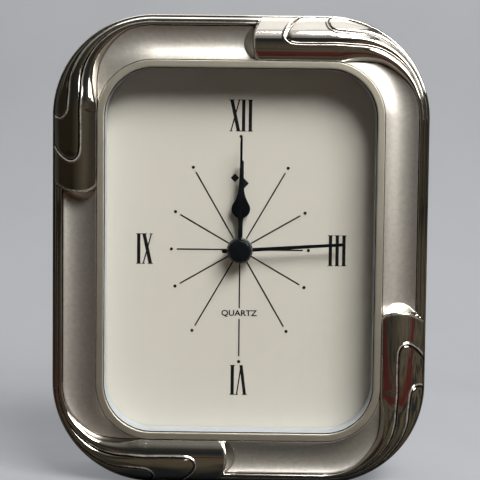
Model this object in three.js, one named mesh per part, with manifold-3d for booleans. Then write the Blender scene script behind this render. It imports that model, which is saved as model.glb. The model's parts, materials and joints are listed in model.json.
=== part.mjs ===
// Travel alarm clock: plated front frame with four wave ornaments round its corners, flat glass,
// cream dial and four hands, quartz alarm movement, and a black rear cover with a fold-out stand,
// battery door, two setting knobs and an alarm switch.
// Millimetres, +Z up, dial facing -Y, origin at the middle of the flat the clock stands on.
// "Front" is the smaller y. An inset is a distance inward from the frame's outline.
import * as THREE from "three";
import { mergeVertices } from "three/addons/utils/BufferGeometryUtils.js";
import Module from "manifold-3d";

const wasm = await Module();
wasm.setup();

// ---------------------------------------------------------------- driving dimensions
// Depths are [front, back] pairs; places are [x, z].
const WIDTH = 80;
const HEIGHT = 100;
const CORNER_R = 21.6;
const AXIS_Z = HEIGHT / 2; // height of the hands' axis
const AXIS = [0, 0]; // place of the hands' axis in the movement's own frame

const LENS_INSET = 10.25; // shared by the glass, spacer ring and dial
const LENS_DEPTH = [-11.15, -9.65];
const DIAL_DEPTH = [-4.6, -4.0];
const RETAINER_DEPTH = [-3.9, -2.7];
const FRONT_PLATE_DEPTH = [-2.6, -1.4];
const REAR_PLATE_DEPTH = [6.0, 7.2];

const CASE_INSET = 1.75;
const CASE_DEPTH = [0.1, 12];
const CASE_WALL = 1.6;
const CASE_SKIN = 1.5;

// Screws that hold the cover to the frame
const CORNER_SCREWS = [[1, 1], [1, -1], [-1, -1], [-1, 1]]
  .map(([sideX, sideZ]) => [sideX * 29.5, AXIS_Z + sideZ * 39.5]);

// Arbors of the movement, measured from the hands' axis
const MINUTE_AT = [-8.9, 8.05];
const ALARM_AT = [8.9, 8.05];
const THIRD_AT = [0, -11.2];
const INTERMEDIATE_AT = [11.6, -3.073];
const ROTOR_AT = [INTERMEDIATE_AT[0] + 3.57, INTERMEDIATE_AT[1] - 9.34];
const SETTING_ARBORS = [MINUTE_AT, ALARM_AT];
const GEAR_ARBORS = [THIRD_AT, INTERMEDIATE_AT, ROTOR_AT];
const SOUNDER_AT = [-20.4, -38.1];

// ---------------------------------------------------------------- solids and meshes
const indexed = (positions, indices) => new THREE.BufferGeometry()
  .setAttribute("position", new THREE.BufferAttribute(new Float32Array(positions), 3))
  .setIndex(indices);

const solid = (source) => {
  const bare = new THREE.BufferGeometry().setAttribute("position", source.attributes.position);
  const merged = mergeVertices(bare.setIndex(source.index), 1e-4);
  return new wasm.Manifold(new wasm.Mesh({
    numProp: 3,
    vertProperties: new Float32Array(merged.attributes.position.array),
    triVerts: new Uint32Array(merged.index.array),
  }));
};
const geometry = (body) => {
  const mesh = body.getMesh();
  const flat = indexed(mesh.vertProperties, new THREE.BufferAttribute(mesh.triVerts, 1))
    .toNonIndexed();
  flat.computeVertexNormals();
  return flat;
};
// add and remove work on a solid; join and cut go from geometries to a geometry.
const add = (body, ...parts) => parts.reduce((sum, part) => sum.add(solid(part)), body);
const remove = (body, ...parts) => parts.reduce((rest, part) => rest.subtract(solid(part)), body);
const join = (first, ...others) => geometry(add(solid(first), ...others));
const cut = (body, ...tools) => geometry(remove(solid(body), ...tools));

// ---------------------------------------------------------------- outlines, drawn in (x, z)
const polygon = (points) => new THREE.Shape(points.map(([x, z]) => new THREE.Vector2(x, z)));
const circle = (radius, segments, [x, z] = AXIS) => {
  const points = [];
  for (let i = 0; i < segments; i++) {
    const angle = (2 * Math.PI * i) / segments;
    points.push([x + radius * Math.cos(angle), z + radius * Math.sin(angle)]);
  }
  return polygon(points);
};
const roundedRect = (width, height, radius, [centreX, centreZ], steps) => {
  const points = [];
  for (const [sideX, sideZ, start] of [[1, -1, -90], [1, 1, 0], [-1, 1, 90], [-1, -1, 180]])
    for (let i = 0; i <= steps; i++) {
      const angle = THREE.MathUtils.degToRad(start + (90 * i) / steps);
      points.push([
        centreX + sideX * (width / 2 - radius) + radius * Math.cos(angle),
        centreZ + sideZ * (height / 2 - radius) + radius * Math.sin(angle),
      ]);
    }
  return polygon(points);
};
const insetOutline = (inset, steps = 7) =>
  roundedRect(WIDTH - 2 * inset, HEIGHT - 2 * inset, CORNER_R - inset, [0, AXIS_Z], steps);
const withHoles = (shape, ...holes) => {
  shape.holes.push(...holes);
  return shape;
};
// One side's points followed by their mirror image across x = 0, in reverse order
const mirrored = (side) => [...side, ...side.map(([x, z]) => [-x, z]).reverse()];

// ---------------------------------------------------------------- basic geometries
const extrude = (shape, front, back) =>
  new THREE.ExtrudeGeometry(shape, { depth: back - front, bevelEnabled: false })
    .rotateX(Math.PI / 2)
    .translate(0, back, 0);
const cylinder = (radius, front, back, segments, [x, z] = AXIS) =>
  new THREE.CylinderGeometry(radius, radius, back - front, segments)
    .translate(x, (front + back) / 2, z);
const crossCylinder = (radius, left, right, segments, y, z) =>
  new THREE.CylinderGeometry(radius, radius, right - left, segments)
    .rotateZ(Math.PI / 2)
    .translate((left + right) / 2, y, z);
const box = (x0, x1, y0, y1, z0, z1) => new THREE.BoxGeometry(x1 - x0, y1 - y0, z1 - z0)
  .translate((x0 + x1) / 2, (y0 + y1) / 2, (z0 + z1) / 2);
// Profile points are [radius, y].
const lathe = (profile, segments) =>
  new THREE.LatheGeometry(profile.map(([r, y]) => new THREE.Vector2(r, y)), segments);
const bore = (body, radius) => cut(body, cylinder(radius, -9, 9, 12));
// Round wire of five sides along a smooth path
const wire = (radius, points, steps) => new THREE.ExtrudeGeometry(circle(radius, 5), {
  steps,
  extrudePath: new THREE.CatmullRomCurve3(points.map((point) => new THREE.Vector3(...point))),
  bevelEnabled: false,
});
// Closed block through frame outlines; levels are [inset, y], front to back.
const stackOutlines = (levels) => {
  const rings = levels.map(([inset]) => insetOutline(inset).getPoints());
  const count = rings[0].length;
  const positions = rings.flatMap((ring, k) => ring.flatMap((p) => [p.x, levels[k][1], p.y]));
  positions.push(0, levels[0][1], AXIS_Z, 0, levels.at(-1)[1], AXIS_Z);
  const frontCentre = count * rings.length;
  const backCentre = frontCentre + 1;
  const lastRing = frontCentre - count;
  const indices = [];
  for (let i = 0; i < count; i++) {
    const j = (i + 1) % count;
    for (let start = 0; start < lastRing; start += count) {
      const next = start + count;
      indices.push(start + i, next + i, start + j, start + j, next + i, next + j);
    }
    indices.push(frontCentre, i, j, backCentre, lastRing + j, lastRing + i);
  }
  return indexed(positions, indices);
};

// ---------------------------------------------------------------- materials
const finish = (settings) => new THREE.MeshStandardMaterial(settings);
const MATERIALS = {
  silver: finish({ color: 0xc9c2b4, roughness: 0.28, metalness: 1 }),
  glass: finish({ color: 0xdde6ea, roughness: 0.05 }),
  cream: finish({ color: 0xc9c3b2, roughness: 0.6 }),
  white: finish({ color: 0xe6e8e8, roughness: 0.4 }),
  black: finish({ color: 0x16171a, roughness: 0.5 }),
  ink: finish({ color: 0x0a0a0c, roughness: 0.35 }),
  brass: finish({ color: 0xb8965a, roughness: 0.35, metalness: 1 }),
  steel: finish({ color: 0xa7a9ab, roughness: 0.35, metalness: 1 }),
  nylon: finish({ color: 0xe4ddcb, roughness: 0.5 }),
  magnet: finish({ color: 0x3a3b3e, roughness: 0.6, metalness: 0.4 }),
  copper: finish({ color: 0xb0673a, roughness: 0.4, metalness: 1 }),
  board: finish({ color: 0x2f6b3e, roughness: 0.5 }),
  epoxy: finish({ color: 0x101010, roughness: 0.3 }),
  cell: finish({ color: 0x8f959b, roughness: 0.35, metalness: 0.6 }),
  red: finish({ color: 0xa01c1c, roughness: 0.5 }),
};

// ---------------------------------------------------------------- front frame surface
const SKIRT_Y = 2; // back edge of the frame's outer wall
const SKIRT_WALL = 1.6;
const CAVITY_Y = -7.2;
const SEAT_INSET = 10.1; // step that holds the glass
const SEAT_Y = -11.2;
const LIP_Y = -12; // flat lip round the glass
const LIP_START = 9.7;
const LIP_END = 11.2;
// Stepped rim: [inset, y]
const RIM = [
  [0, -9.0], [0.5, -9.75], [0.62, -9.6], [1.2, -10.5], [1.45, -10.1], [2.0, -11.35], [2.35, -11.1],
];
const [RIM_END, RIM_END_Y] = RIM.at(-1);
const FRONT_INSETS = [...RIM.map(([inset]) => inset), 3.3, 4.6, 6.0, 7.4, 8.8, LIP_START, LIP_END];

const TIP_RUN = 17.1; // straight run of a wave ornament before its corner
const RUN_PER_DEGREE = 25.1 / 90; // ornament run round the corner
const WAVE_OUTER = 0.58; // inset of the ornament's outer edge
const WAVE_OUTER_Y = -9.6;
const WAVE_RISE = 2.7; // height of the crown at the ornament's full width
const WAVE_BLEND = 1.5; // run over which the tip rises out of the plain surface
// Inner edge of the ornament: [degrees round the corner, inset]
const INNER_EDGE = [
  [-90, 9.7], [8, 9.7], [16, 9.2], [25, 8.2], [37, 6.6],
  [45, 5.7], [52, 5.0], [63, 3.9], [74, 3.0], [90, 2.4],
];
// Tip of the ornament: [inset, run behind the foremost point]
const TIP_EDGE = [
  [0.3, 4.3], [2, 3.1], [3.5, 2.0], [5, 0.9], [6.2, 0.15],
  [6.9, 0], [7.8, 0.25], [8.6, 0.85], [9.2, 1.5], [9.7, 2.4],
];

const lookup = (table, x) => {
  if (x <= table[0][0]) return table[0][1];
  for (let i = 1; i < table.length; i++)
    if (x <= table[i][0]) {
      const [[x0, y0], [x1, y1]] = [table[i - 1], table[i]];
      return y0 + ((y1 - y0) * (x - x0)) / (x1 - x0);
    }
  return table.at(-1)[1];
};
// Rim, then a shallow bulge up to the lip
const plainY = (inset) => {
  if (inset <= RIM_END) return lookup(RIM, inset);
  if (inset >= LIP_START) return LIP_Y;
  const q = (inset - RIM_END) / (LIP_START - RIM_END);
  const bulge = 1.35 * Math.pow(1 - (2 * q - 1) ** 2, 0.92);
  return RIM_END_Y + (LIP_Y - RIM_END_Y) * q + bulge;
};
const frontY = (run, inset) => {
  const plain = plainY(inset);
  const inner = lookup(INNER_EDGE, run / RUN_PER_DEGREE);
  if (inset <= WAVE_OUTER || inset >= inner) return plain;
  const across = (inset - WAVE_OUTER) / (inner - WAVE_OUTER);
  const widthShare = (inner - WAVE_OUTER) / (LIP_START - WAVE_OUTER);
  const rise = WAVE_RISE * Math.pow(widthShare, 1.2) * Math.pow(Math.sin(Math.PI * across), 0.62);
  const crown = WAVE_OUTER_Y + (plainY(inner) - WAVE_OUTER_Y) * across - rise;
  const pastTip = run + TIP_RUN - lookup(TIP_EDGE, inset);
  const blend = THREE.MathUtils.smoothstep(pastTip, 0, WAVE_BLEND);
  return Math.min(plain, plain + (crown - plain) * blend);
};

// Stations clockwise round the outline, as seen from the front: point, inward direction and
// run along the ornament, which is zero where the corner begins.
const frameStations = () => {
  const cornerX = WIDTH / 2 - CORNER_R;
  const cornerZ = HEIGHT / 2 - CORNER_R;
  const top = AXIS_Z + cornerZ;
  const bottom = AXIS_Z - cornerZ;
  // Each side runs from start along heading to the corner arc that begins at startAngle.
  const sides = [
    { start: [-cornerX, HEIGHT], heading: [1, 0], corner: [cornerX, top], startAngle: 90 },
    { start: [WIDTH / 2, top], heading: [0, -1], corner: [cornerX, bottom], startAngle: 0 },
    { start: [cornerX, 0], heading: [-1, 0], corner: [-cornerX, bottom], startAngle: -90 },
    { start: [-WIDTH / 2, bottom], heading: [0, 1], corner: [-cornerX, top], startAngle: 180 },
  ];
  const straightRuns = [...[-0.5, 0.7, 2.2, 4.2, 6.5].map((step) => step - TIP_RUN), -6];
  const stations = [];
  for (const { start, heading: [headX, headZ], corner, startAngle } of sides) {
    const length = 2 * (headX ? cornerX : cornerZ);
    for (const run of straightRuns) {
      const along = length + run;
      const point = [start[0] + headX * along, start[1] + headZ * along];
      stations.push({ point, inward: [headZ, -headX], run });
    }
    for (let degrees = 0; degrees <= 90; degrees += 10) {
      const angle = THREE.MathUtils.degToRad(startAngle - degrees);
      const [x, z] = [Math.cos(angle), Math.sin(angle)];
      stations.push({
        point: [corner[0] + CORNER_R * x, corner[1] + CORNER_R * z],
        inward: [-x, -z],
        run: degrees * RUN_PER_DEGREE,
      });
    }
  }
  return stations;
};
const frameShell = () => {
  const sections = frameStations().map(({ point, inward, run }) => [
    [0, SKIRT_Y],
    ...FRONT_INSETS.map((inset) => [inset, frontY(run, inset)]),
    [LIP_END, SEAT_Y],
    [SEAT_INSET, SEAT_Y],
    [SEAT_INSET, CAVITY_Y],
    [SKIRT_WALL, CAVITY_Y],
    [SKIRT_WALL, SKIRT_Y],
  ].map(([inset, y]) => [point[0] + inward[0] * inset, y, point[1] + inward[1] * inset]));
  const count = sections[0].length;
  const indices = [];
  sections.forEach((_, i) => {
    const here = i * count;
    const next = ((i + 1) % sections.length) * count;
    for (let j = 0; j < count; j++) {
      const k = (j + 1) % count;
      indices.push(here + j, here + k, next + j, here + k, next + k, next + j);
    }
  });
  return indexed(sections.flat(2), indices);
};

// ---------------------------------------------------------------- assembly
const group = new THREE.Group();
const FLAT_MIDDLE_Y = (RIM[0][1] + SKIRT_Y) / 2; // middle of the flat under the outer wall
const put = (name, shape, material) => {
  const mesh = new THREE.Mesh(shape.translate(0, -FLAT_MIDDLE_Y, 0), material);
  mesh.name = name;
  group.add(mesh);
};
// Places a piece relative to the hands' axis.
const putOnAxis = (name, shape, material, [x, z] = AXIS) =>
  put(name, shape.translate(x, 0, AXIS_Z + z), material);

// ---------------------------------------------------------------- frame, glass and dial
const frontFrame = () => {
  let frame = solid(frameShell());
  for (const place of CORNER_SCREWS) {
    frame = add(frame, cylinder(2.6, CAVITY_Y - 0.4, -3.95, 12, place));
    frame = remove(frame, cylinder(1.2, -6.9, 0, 8, place));
  }
  return geometry(frame);
};
// Flat glass with a bevel round its front edge
const lens = () => {
  const bevel = 0.5;
  const [front, back] = LENS_DEPTH;
  return stackOutlines([
    [LENS_INSET + bevel, front],
    [LENS_INSET, front + bevel],
    [LENS_INSET, back],
  ]);
};
const spacerRing = () =>
  extrude(withHoles(insetOutline(LENS_INSET), insetOutline(11.15)), LENS_DEPTH[1] + 0.05, -4.65);
const dial = () =>
  extrude(withHoles(insetOutline(LENS_INSET), circle(2.4, 16, [0, AXIS_Z])), ...DIAL_DEPTH);
const dialRetainer = () => {
  const screwHoles = CORNER_SCREWS.map((place) => circle(1.4, 12, place));
  const outline = withHoles(insetOutline(3), insetOutline(13, 6), ...screwHoles);
  return extrude(outline, ...RETAINER_DEPTH);
};
put("front_frame", frontFrame(), MATERIALS.silver);
put("lens", lens(), MATERIALS.glass);
put("spacer_ring", spacerRing(), MATERIALS.white);
put("dial", dial(), MATERIALS.cream);
put("dial_retainer", dialRetainer(), MATERIALS.black);

// ---------------------------------------------------------------- hands
// A blade is drawn pointing up and turned clockwise, as seen from the front.
const blade = (points, degrees, front, back) =>
  extrude(polygon(points), front, back).rotateY(THREE.MathUtils.degToRad(degrees));
const HAND_DEGREES = { alarm: 0.8, hour: 0.8, minute: 86.2, second: 0.4 };

const alarmHand = () => {
  const outline = [[-0.3, 1.8], [0.3, 1.8], [0.2, 14.6], [0, 15.2], [-0.2, 14.6]];
  const arm = blade(outline, HAND_DEGREES.alarm, -5.55, -5.3);
  return bore(join(cylinder(2.55, -5.75, -5.1, 16), arm), 2.07);
};
// Slim stem, a round bulb, then a tapering point
const hourHand = () => {
  const bulbR = 2.0;
  const bulbZ = 8.95;
  const bulb = [];
  for (let degrees = -60; degrees <= 60; degrees += 15) {
    const angle = THREE.MathUtils.degToRad(degrees);
    bulb.push([bulbR * Math.cos(angle), bulbZ + bulbR * Math.sin(angle)]);
  }
  const side = [
    [0.52, 2.0], [0.52, 7.02], ...bulb,
    [0.92, 11.25], [0.7, 12.1], [0.56, 13.1], [0.44, 16], [0.38, 19.2],
  ];
  const arm = blade(mirrored(side), HAND_DEGREES.hour, -6.3, -6.0);
  return bore(join(cylinder(2.5, -6.45, -5.85, 16), arm), 1.52);
};
const minuteHand = () => {
  const side = [[0.2, -3.9], [0.42, -3.7], [0.42, 0], [0.31, 22.2], [0.16, 22.4]];
  const arm = blade(mirrored(side), HAND_DEGREES.minute, -7.2, -6.95);
  return bore(join(cylinder(2.8, -7.5, -6.75, 20), arm), 0.96);
};
// The second hand's cap is bored from the back only.
const secondHand = () => {
  const cap = lathe([
    [0, -8.75], [2.2, -8.6], [2.45, -8.35], [2.45, -7.95], [2.3, -7.75], [0, -7.75],
  ], 24);
  const arm = blade(mirrored([[0.26, 0], [0.17, 24.2]]), HAND_DEGREES.second, -8.15, -7.9);
  return cut(join(cap, arm), cylinder(0.44, -8.3, -7, 10));
};
putOnAxis("alarm_hand", alarmHand(), MATERIALS.ink);
putOnAxis("hour_hand", hourHand(), MATERIALS.ink);
putOnAxis("minute_hand", minuteHand(), MATERIALS.ink);
putOnAxis("second_hand", secondHand(), MATERIALS.ink);

// ---------------------------------------------------------------- movement: plates
const MOVEMENT_SCREWS = [[-27.3, 21.8], [27.3, 21.8], [-27.3, -26.6], [27.3, -26.6]];
const plateOutline = () => roundedRect(62, 56, 4, [0, -2], 4);

const frontPlate = () => {
  const [front, back] = FRONT_PLATE_DEPTH;
  const blindHole = (radius) => (place) => cylinder(radius, -2, 0, 8, place);
  let plate = solid(extrude(withHoles(plateOutline(), circle(2.15, 18)), front, back));
  plate = remove(plate, ...SETTING_ARBORS.map(blindHole(0.62)), ...GEAR_ARBORS.map(blindHole(0.52)));
  for (const place of MOVEMENT_SCREWS) {
    plate = add(plate, cylinder(1.9, back - 0.2, REAR_PLATE_DEPTH[0] - 0.05, 12, place));
    plate = remove(plate, cylinder(0.85, 1.2, 7, 8, place));
  }
  return geometry(plate);
};
const rearPlate = () => extrude(withHoles(
  plateOutline(),
  circle(0.55, 12),
  ...MOVEMENT_SCREWS.map((place) => circle(0.95, 8, place)),
  ...SETTING_ARBORS.map((place) => circle(1.47, 10, place)),
  ...GEAR_ARBORS.map((place) => circle(0.62, 10, place)),
), ...REAR_PLATE_DEPTH);
const movementScrew = () => {
  const seat = REAR_PLATE_DEPTH[1];
  const shank = cylinder(0.75, 2.0, seat + 0.3, 8);
  const head = cylinder(1.7, seat + 0.05, seat + 0.95, 12);
  return cut(join(shank, head), box(-2, 2, seat + 0.55, seat + 2, -0.2, 0.2));
};
putOnAxis("movement_front_plate", frontPlate(), MATERIALS.nylon);
putOnAxis("movement_rear_plate", rearPlate(), MATERIALS.nylon);
MOVEMENT_SCREWS.forEach((place, i) =>
  putOnAxis("movement_screw_" + (i + 1), movementScrew(), MATERIALS.steel, place));

// ---------------------------------------------------------------- movement: gear train
// Tooth proportions: addendum and dedendum in modules, thickness as a share of the pitch
const WHEEL_TOOTH = { addendum: 0.72, dedendum: 1.15, thickness: 0.42 };
const PINION_TOOTH = { addendum: 0.8, dedendum: 1.1, thickness: 0.4 };
const PRESSURE_ANGLE = THREE.MathUtils.degToRad(20);
const involute = (angle) => Math.tan(angle) - angle;

// Straight-sided teeth; phase is the angle of a tooth's centre.
const gearOutline = (teeth, module, phase, { addendum, dedendum, thickness }) => {
  const pitchR = (teeth * module) / 2;
  const tipR = pitchR + addendum * module;
  const rootR = pitchR - dedendum * module;
  const baseR = pitchR * Math.cos(PRESSURE_ANGLE);
  const half = (Math.PI * thickness) / teeth;
  const involuteTip = half + involute(PRESSURE_ANGLE) - involute(Math.acos(baseR / tipR));
  const tip = Math.max(involuteTip, (0.06 * module) / tipR);
  const root = half + ((half - tip) * dedendum) / addendum;
  const points = [];
  for (let i = 0; i < teeth; i++) {
    const centre = phase + (2 * Math.PI * i) / teeth;
    for (const [r, offset] of [[rootR, -root], [tipR, -tip], [tipR, tip], [rootR, root]])
      points.push([r * Math.cos(centre + offset), r * Math.sin(centre + offset)]);
  }
  return polygon(points);
};
// A wheel driving or driven by a pinion: a tooth of the pinion points into a gap of the wheel.
// Both are drawn round their own centres.
const gearPair = (wheelAt, wheelTeeth, pinionAt, pinionTeeth) => {
  const dx = pinionAt[0] - wheelAt[0];
  const dz = pinionAt[1] - wheelAt[1];
  const module = (2 * Math.hypot(dx, dz)) / (wheelTeeth + pinionTeeth);
  const wheelPhase = Math.atan2(dz, dx) + Math.PI / wheelTeeth;
  const pinionPhase = Math.atan2(-dz, -dx);
  return {
    wheel: (front, back) =>
      extrude(gearOutline(wheelTeeth, module, wheelPhase, WHEEL_TOOTH), front, back),
    pinion: (front, back) =>
      extrude(gearOutline(pinionTeeth, module, pinionPhase, PINION_TOOTH), front, back),
  };
};
const PAIRS = {
  alarm: gearPair(AXIS, 30, ALARM_AT, 10),
  hour: gearPair(AXIS, 32, MINUTE_AT, 8),
  minute: gearPair(MINUTE_AT, 24, AXIS, 8),
  centre: gearPair(AXIS, 45, THIRD_AT, 6),
  third: gearPair(THIRD_AT, 48, AXIS, 6),
  seconds: gearPair(AXIS, 40, INTERMEDIATE_AT, 8),
  intermediate: gearPair(INTERMEDIATE_AT, 36, ROTOR_AT, 6),
};
const MINUTE_LEVEL = [0.8, 1.5]; // shared by the minute wheel and the pinion it meshes with
const pivot = () => cylinder(0.4, -1.9, 6.6, 10);
const settingPivot = (back) => cylinder(0.5, -1.9, back, 10);
const settingShaft = (front) => cylinder(1.25, front, 12.4, 10);
const washer = (radius, segments, hole, holeSegments, front, back) =>
  extrude(withHoles(circle(radius, segments), circle(hole, holeSegments)), front, back);

// Round the hands' axis: the alarm wheel's tube holds the hour wheel's, and so on inward.
const alarmWheel = join(PAIRS.alarm.wheel(-1.2, -0.5), cylinder(2.0, -5.6, -0.6, 12));
putOnAxis("alarm_wheel", bore(alarmWheel, 1.6), MATERIALS.nylon);

const hourWheel = join(PAIRS.hour.wheel(-0.2, 0.5), cylinder(1.45, -6.35, 0.1, 12));
putOnAxis("hour_wheel", bore(hourWheel, 1.1), MATERIALS.nylon);

const minuteArbor = join(PAIRS.minute.pinion(...MINUTE_LEVEL), cylinder(0.9, -7.4, 2.58, 12));
putOnAxis("minute_arbor", bore(minuteArbor, 0.56), MATERIALS.brass);

putOnAxis("center_wheel", bore(PAIRS.centre.wheel(1.8, 2.4), 1.0), MATERIALS.brass);
putOnAxis("clutch_washer", washer(2.4, 14, 0.97, 12, 2.45, 2.6), MATERIALS.steel);

const secondsWheel = join(
  PAIRS.seconds.wheel(3.6, 4.2),
  PAIRS.third.pinion(2.68, 3.7),
  cylinder(0.4, -8.2, 6.6, 10),
);
putOnAxis("seconds_wheel", secondsWheel, MATERIALS.steel);

// On their own arbors
const thirdWheel = join(PAIRS.third.wheel(2.7, 3.3), PAIRS.centre.pinion(1.75, 2.8), pivot());
putOnAxis("third_wheel", thirdWheel, MATERIALS.nylon, THIRD_AT);

const intermediateWheel = join(
  PAIRS.intermediate.wheel(4.5, 5.1),
  PAIRS.seconds.pinion(3.5, 4.6),
  pivot(),
);
putOnAxis("intermediate_wheel", intermediateWheel, MATERIALS.nylon, INTERMEDIATE_AT);

const rotorPinion = join(
  PAIRS.intermediate.pinion(4.4, 5.3),
  cylinder(0.9, 2.45, 4.5, 12),
  pivot(),
);
putOnAxis("rotor_pinion", rotorPinion, MATERIALS.nylon, ROTOR_AT);
putOnAxis("rotor_magnet", washer(2.6, 16, 0.43, 10, 0.2, 2.4), MATERIALS.magnet, ROTOR_AT);

const minuteWheel = join(
  PAIRS.minute.wheel(...MINUTE_LEVEL),
  PAIRS.hour.pinion(-0.3, 0.9),
  settingPivot(0),
  settingShaft(1.3),
);
putOnAxis("minute_wheel", minuteWheel, MATERIALS.nylon, MINUTE_AT);

const alarmSetPinion = join(PAIRS.alarm.pinion(-1.3, -0.4), settingPivot(-1), settingShaft(-0.6));
putOnAxis("alarm_set_pinion", alarmSetPinion, MATERIALS.nylon, ALARM_AT);

// ---------------------------------------------------------------- movement: motor
const COIL_Y = 2.45;
const COIL_Z = -25;
const coilCylinder = (radius, left, right, segments) =>
  crossCylinder(radius, left, right, segments, COIL_Y, COIL_Z);

// Plate round the rotor, with an arm over to the far end of the coil and feet on both core ends
const stator = () => {
  const depth = [0.8, 1.6];
  const outline = polygon([
    [10.8, -28], [20.4, -28], [20.4, -7.9], [10.9, -7.9],
    [10.9, -18.4], [-9.4, -18.4], [-9.4, -21.4], [10.8, -21.4],
  ]);
  const plate = extrude(withHoles(outline, circle(2.9, 16, ROTOR_AT)), ...depth);
  return join(plate, box(-13.5, -9.3, ...depth, -28, -18.4));
};
const coilBobbin = () => {
  const tube = coilCylinder(1.9, -9, 9.6, 16);
  const leftFlange = coilCylinder(3.1, -9, -8.2, 18);
  const rightFlange = coilCylinder(3.1, 8.8, 9.6, 18);
  return cut(join(tube, leftFlange, rightFlange), box(-20, 20, 1.6, 3.3, -26.25, -23.75));
};
const coilWinding = () =>
  cut(coilCylinder(2.9, -8.1, 8.7, 18), coilCylinder(1.96, -9, 10, 16));
putOnAxis("stator", stator(), MATERIALS.steel);
putOnAxis("coil_core", box(-13, 13.6, 1.65, 3.25, -26.2, -23.8), MATERIALS.steel);
putOnAxis("coil_bobbin", coilBobbin(), MATERIALS.black);
putOnAxis("coil_winding", coilWinding(), MATERIALS.copper);

// ---------------------------------------------------------------- movement: circuit and sounder
const circuitBoard = extrude(roundedRect(15.4, 17.5, 1, [-21.7, -15.3], 2), 1.0, 1.9);
putOnAxis("circuit_board", circuitBoard, MATERIALS.board);

const controllerBlob = lathe([[0, 1.95], [2.7, 1.95], [2.4, 2.6], [1.2, 3.0], [0, 3.1]], 14);
putOnAxis("controller_blob", controllerBlob, MATERIALS.epoxy, [-23, -12]);

// The crystal's can lies upright along Z.
const quartzCrystal = new THREE.CylinderGeometry(1.05, 1.05, 6, 12)
  .rotateX(Math.PI / 2)
  .translate(-15.6, 3.05, -15.5);
putOnAxis("quartz_crystal", quartzCrystal, MATERIALS.steel);

// Low on the left, seen from the front, in front of the sound slots
const sounderCup = lathe([[0, 3.0], [5.9, 3.0], [5.9, 8.0], [5.2, 8.0], [5.2, 3.8], [0, 3.8]], 20);
putOnAxis("sounder_cup", sounderCup, MATERIALS.black, SOUNDER_AT);
putOnAxis("sounder_disc", cylinder(5.1, 7.3, 7.55, 20), MATERIALS.brass, SOUNDER_AT);

// ---------------------------------------------------------------- battery, contacts and wires
const BATTERY = { radius: 5.2, length: 43.6, y: 4.0, z: 84 };

const battery = () => {
  const { radius, length, y, z } = BATTERY;
  const can = crossCylinder(radius, -length / 2, length / 2 - 0.9, 24, y, z);
  const terminal = crossCylinder(1.9, length / 2 - 1.5, length / 2, 14, y, z);
  return join(can, terminal);
};
// Upright plate with two small tabs at its foot
const positiveContact = () => join(
  box(22.0, 22.4, -0.2, 8.6, 79.9, 88.1),
  box(20.8, 22.2, -0.2, 0.2, 77.7, 80.0),
  box(21.9, 22.3, -0.2, 0.2, 77.6, 80.2),
);
// Plate with a conical spring that narrows towards the battery
const negativeContact = () => {
  const turns = 2.6;
  const steps = 24;
  const points = [];
  for (let i = 0; i <= steps; i++) {
    const q = i / steps;
    const angle = q * turns * 2 * Math.PI;
    const coilR = 3.5 - 1.7 * q;
    points.push([
      -24.4 + 2.3 * q,
      BATTERY.y + coilR * Math.cos(angle),
      BATTERY.z + coilR * Math.sin(angle),
    ]);
  }
  return join(box(-24.9, -24.28, 0.2, 8.2, 80.2, 87.8), wire(0.26, points, 26));
};
put("battery", battery(), MATERIALS.cell);
put("positive_contact", positiveContact(), MATERIALS.steel);
put("negative_contact", negativeContact(), MATERIALS.steel);

// Points the wires pass through: [x, y, z]
const WIRES = [
  { name: "wire_positive", material: MATERIALS.red, points: [
    [22.1, 0, 77.1], [23.4, 0.9, 73], [23.9, 2.4, 66], [23.8, 3.4, 48], [23.6, 4.0, 33],
    [22.6, 3.4, 23.5], [18.5, 2.6, 18.8], [0, 2.4, 18.6], [-12.8, 2.6, 18.8],
    [-16.3, 2.5, 22.5], [-16.6, 2.4, 27.2],
  ] },
  { name: "wire_negative", material: MATERIALS.ink, points: [
    [-25.1, -0.3, 79.6], [-31.9, 0.4, 73], [-32.4, 2.0, 60], [-32.2, 3, 48],
    [-30.8, 3.6, 40.5], [-27.8, 2.45, 38.6],
  ] },
  { name: "wire_sounder_a", material: MATERIALS.red, points: [
    [-22.6, 2.45, 27.6], [-22.9, 2.2, 22.6], [-22.0, 2.48, 15.2],
  ] },
  { name: "wire_sounder_b", material: MATERIALS.ink, points: [
    [-18.2, 2.45, 27.6], [-16.9, 2.2, 22.6], [-18.4, 2.48, 14.8],
  ] },
];
for (const { name, material, points } of WIRES) put(name, wire(0.42, points, 12), material);

// Leaf from the front of the circuit board towards the alarm wheel
const alarmContact = join(
  box(-17.5, -6.4, 0.64, 0.8, -9.2, -8.0),
  box(-17.5, -14.6, 0.6, 0.94, -9.8, -7.4),
);
putOnAxis("alarm_contact", alarmContact, MATERIALS.brass);

// ---------------------------------------------------------------- rear cover
const HINGE = { y: 10.75, z: 46.5, radius: 1.2 };
const SWITCH = { x: 28.6, z: 66 };
const BAY = { left: -26.4, right: 23.9, bottom: 77, top: 91, wall: 1.2, front: 2.5, back: 11 };
const CUT_BACK = 14; // cuts from behind start clear of the cover
const hingeCylinder = (radius, length, segments) =>
  crossCylinder(radius, -length / 2, length / 2, segments, HINGE.y, HINGE.z);
// Box centred on the switch's x, with heights measured from the switch's z
const switchBox = (halfWidth, front, back, low, high) =>
  box(SWITCH.x - halfWidth, SWITCH.x + halfWidth, front, back, SWITCH.z + low, SWITCH.z + high);

// Solid block of the case: straight wall and eased back edge
const [CASE_FRONT, CASE_BACK] = CASE_DEPTH;
const caseBlock = solid(stackOutlines([
  [CASE_INSET, CASE_FRONT],
  [CASE_INSET, CASE_BACK - 1.6],
  [CASE_INSET + 0.45, CASE_BACK - 0.5],
  [CASE_INSET + 1.6, CASE_BACK],
]));

const addStandTray = (cover) => {
  const tray = add(cover, box(-14.6, 14.6, 8.2, 11, 2.6, 49.4));
  return remove(tray, box(-13.2, 13.2, 9.4, CUT_BACK, -2, 48.2));
};
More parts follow.
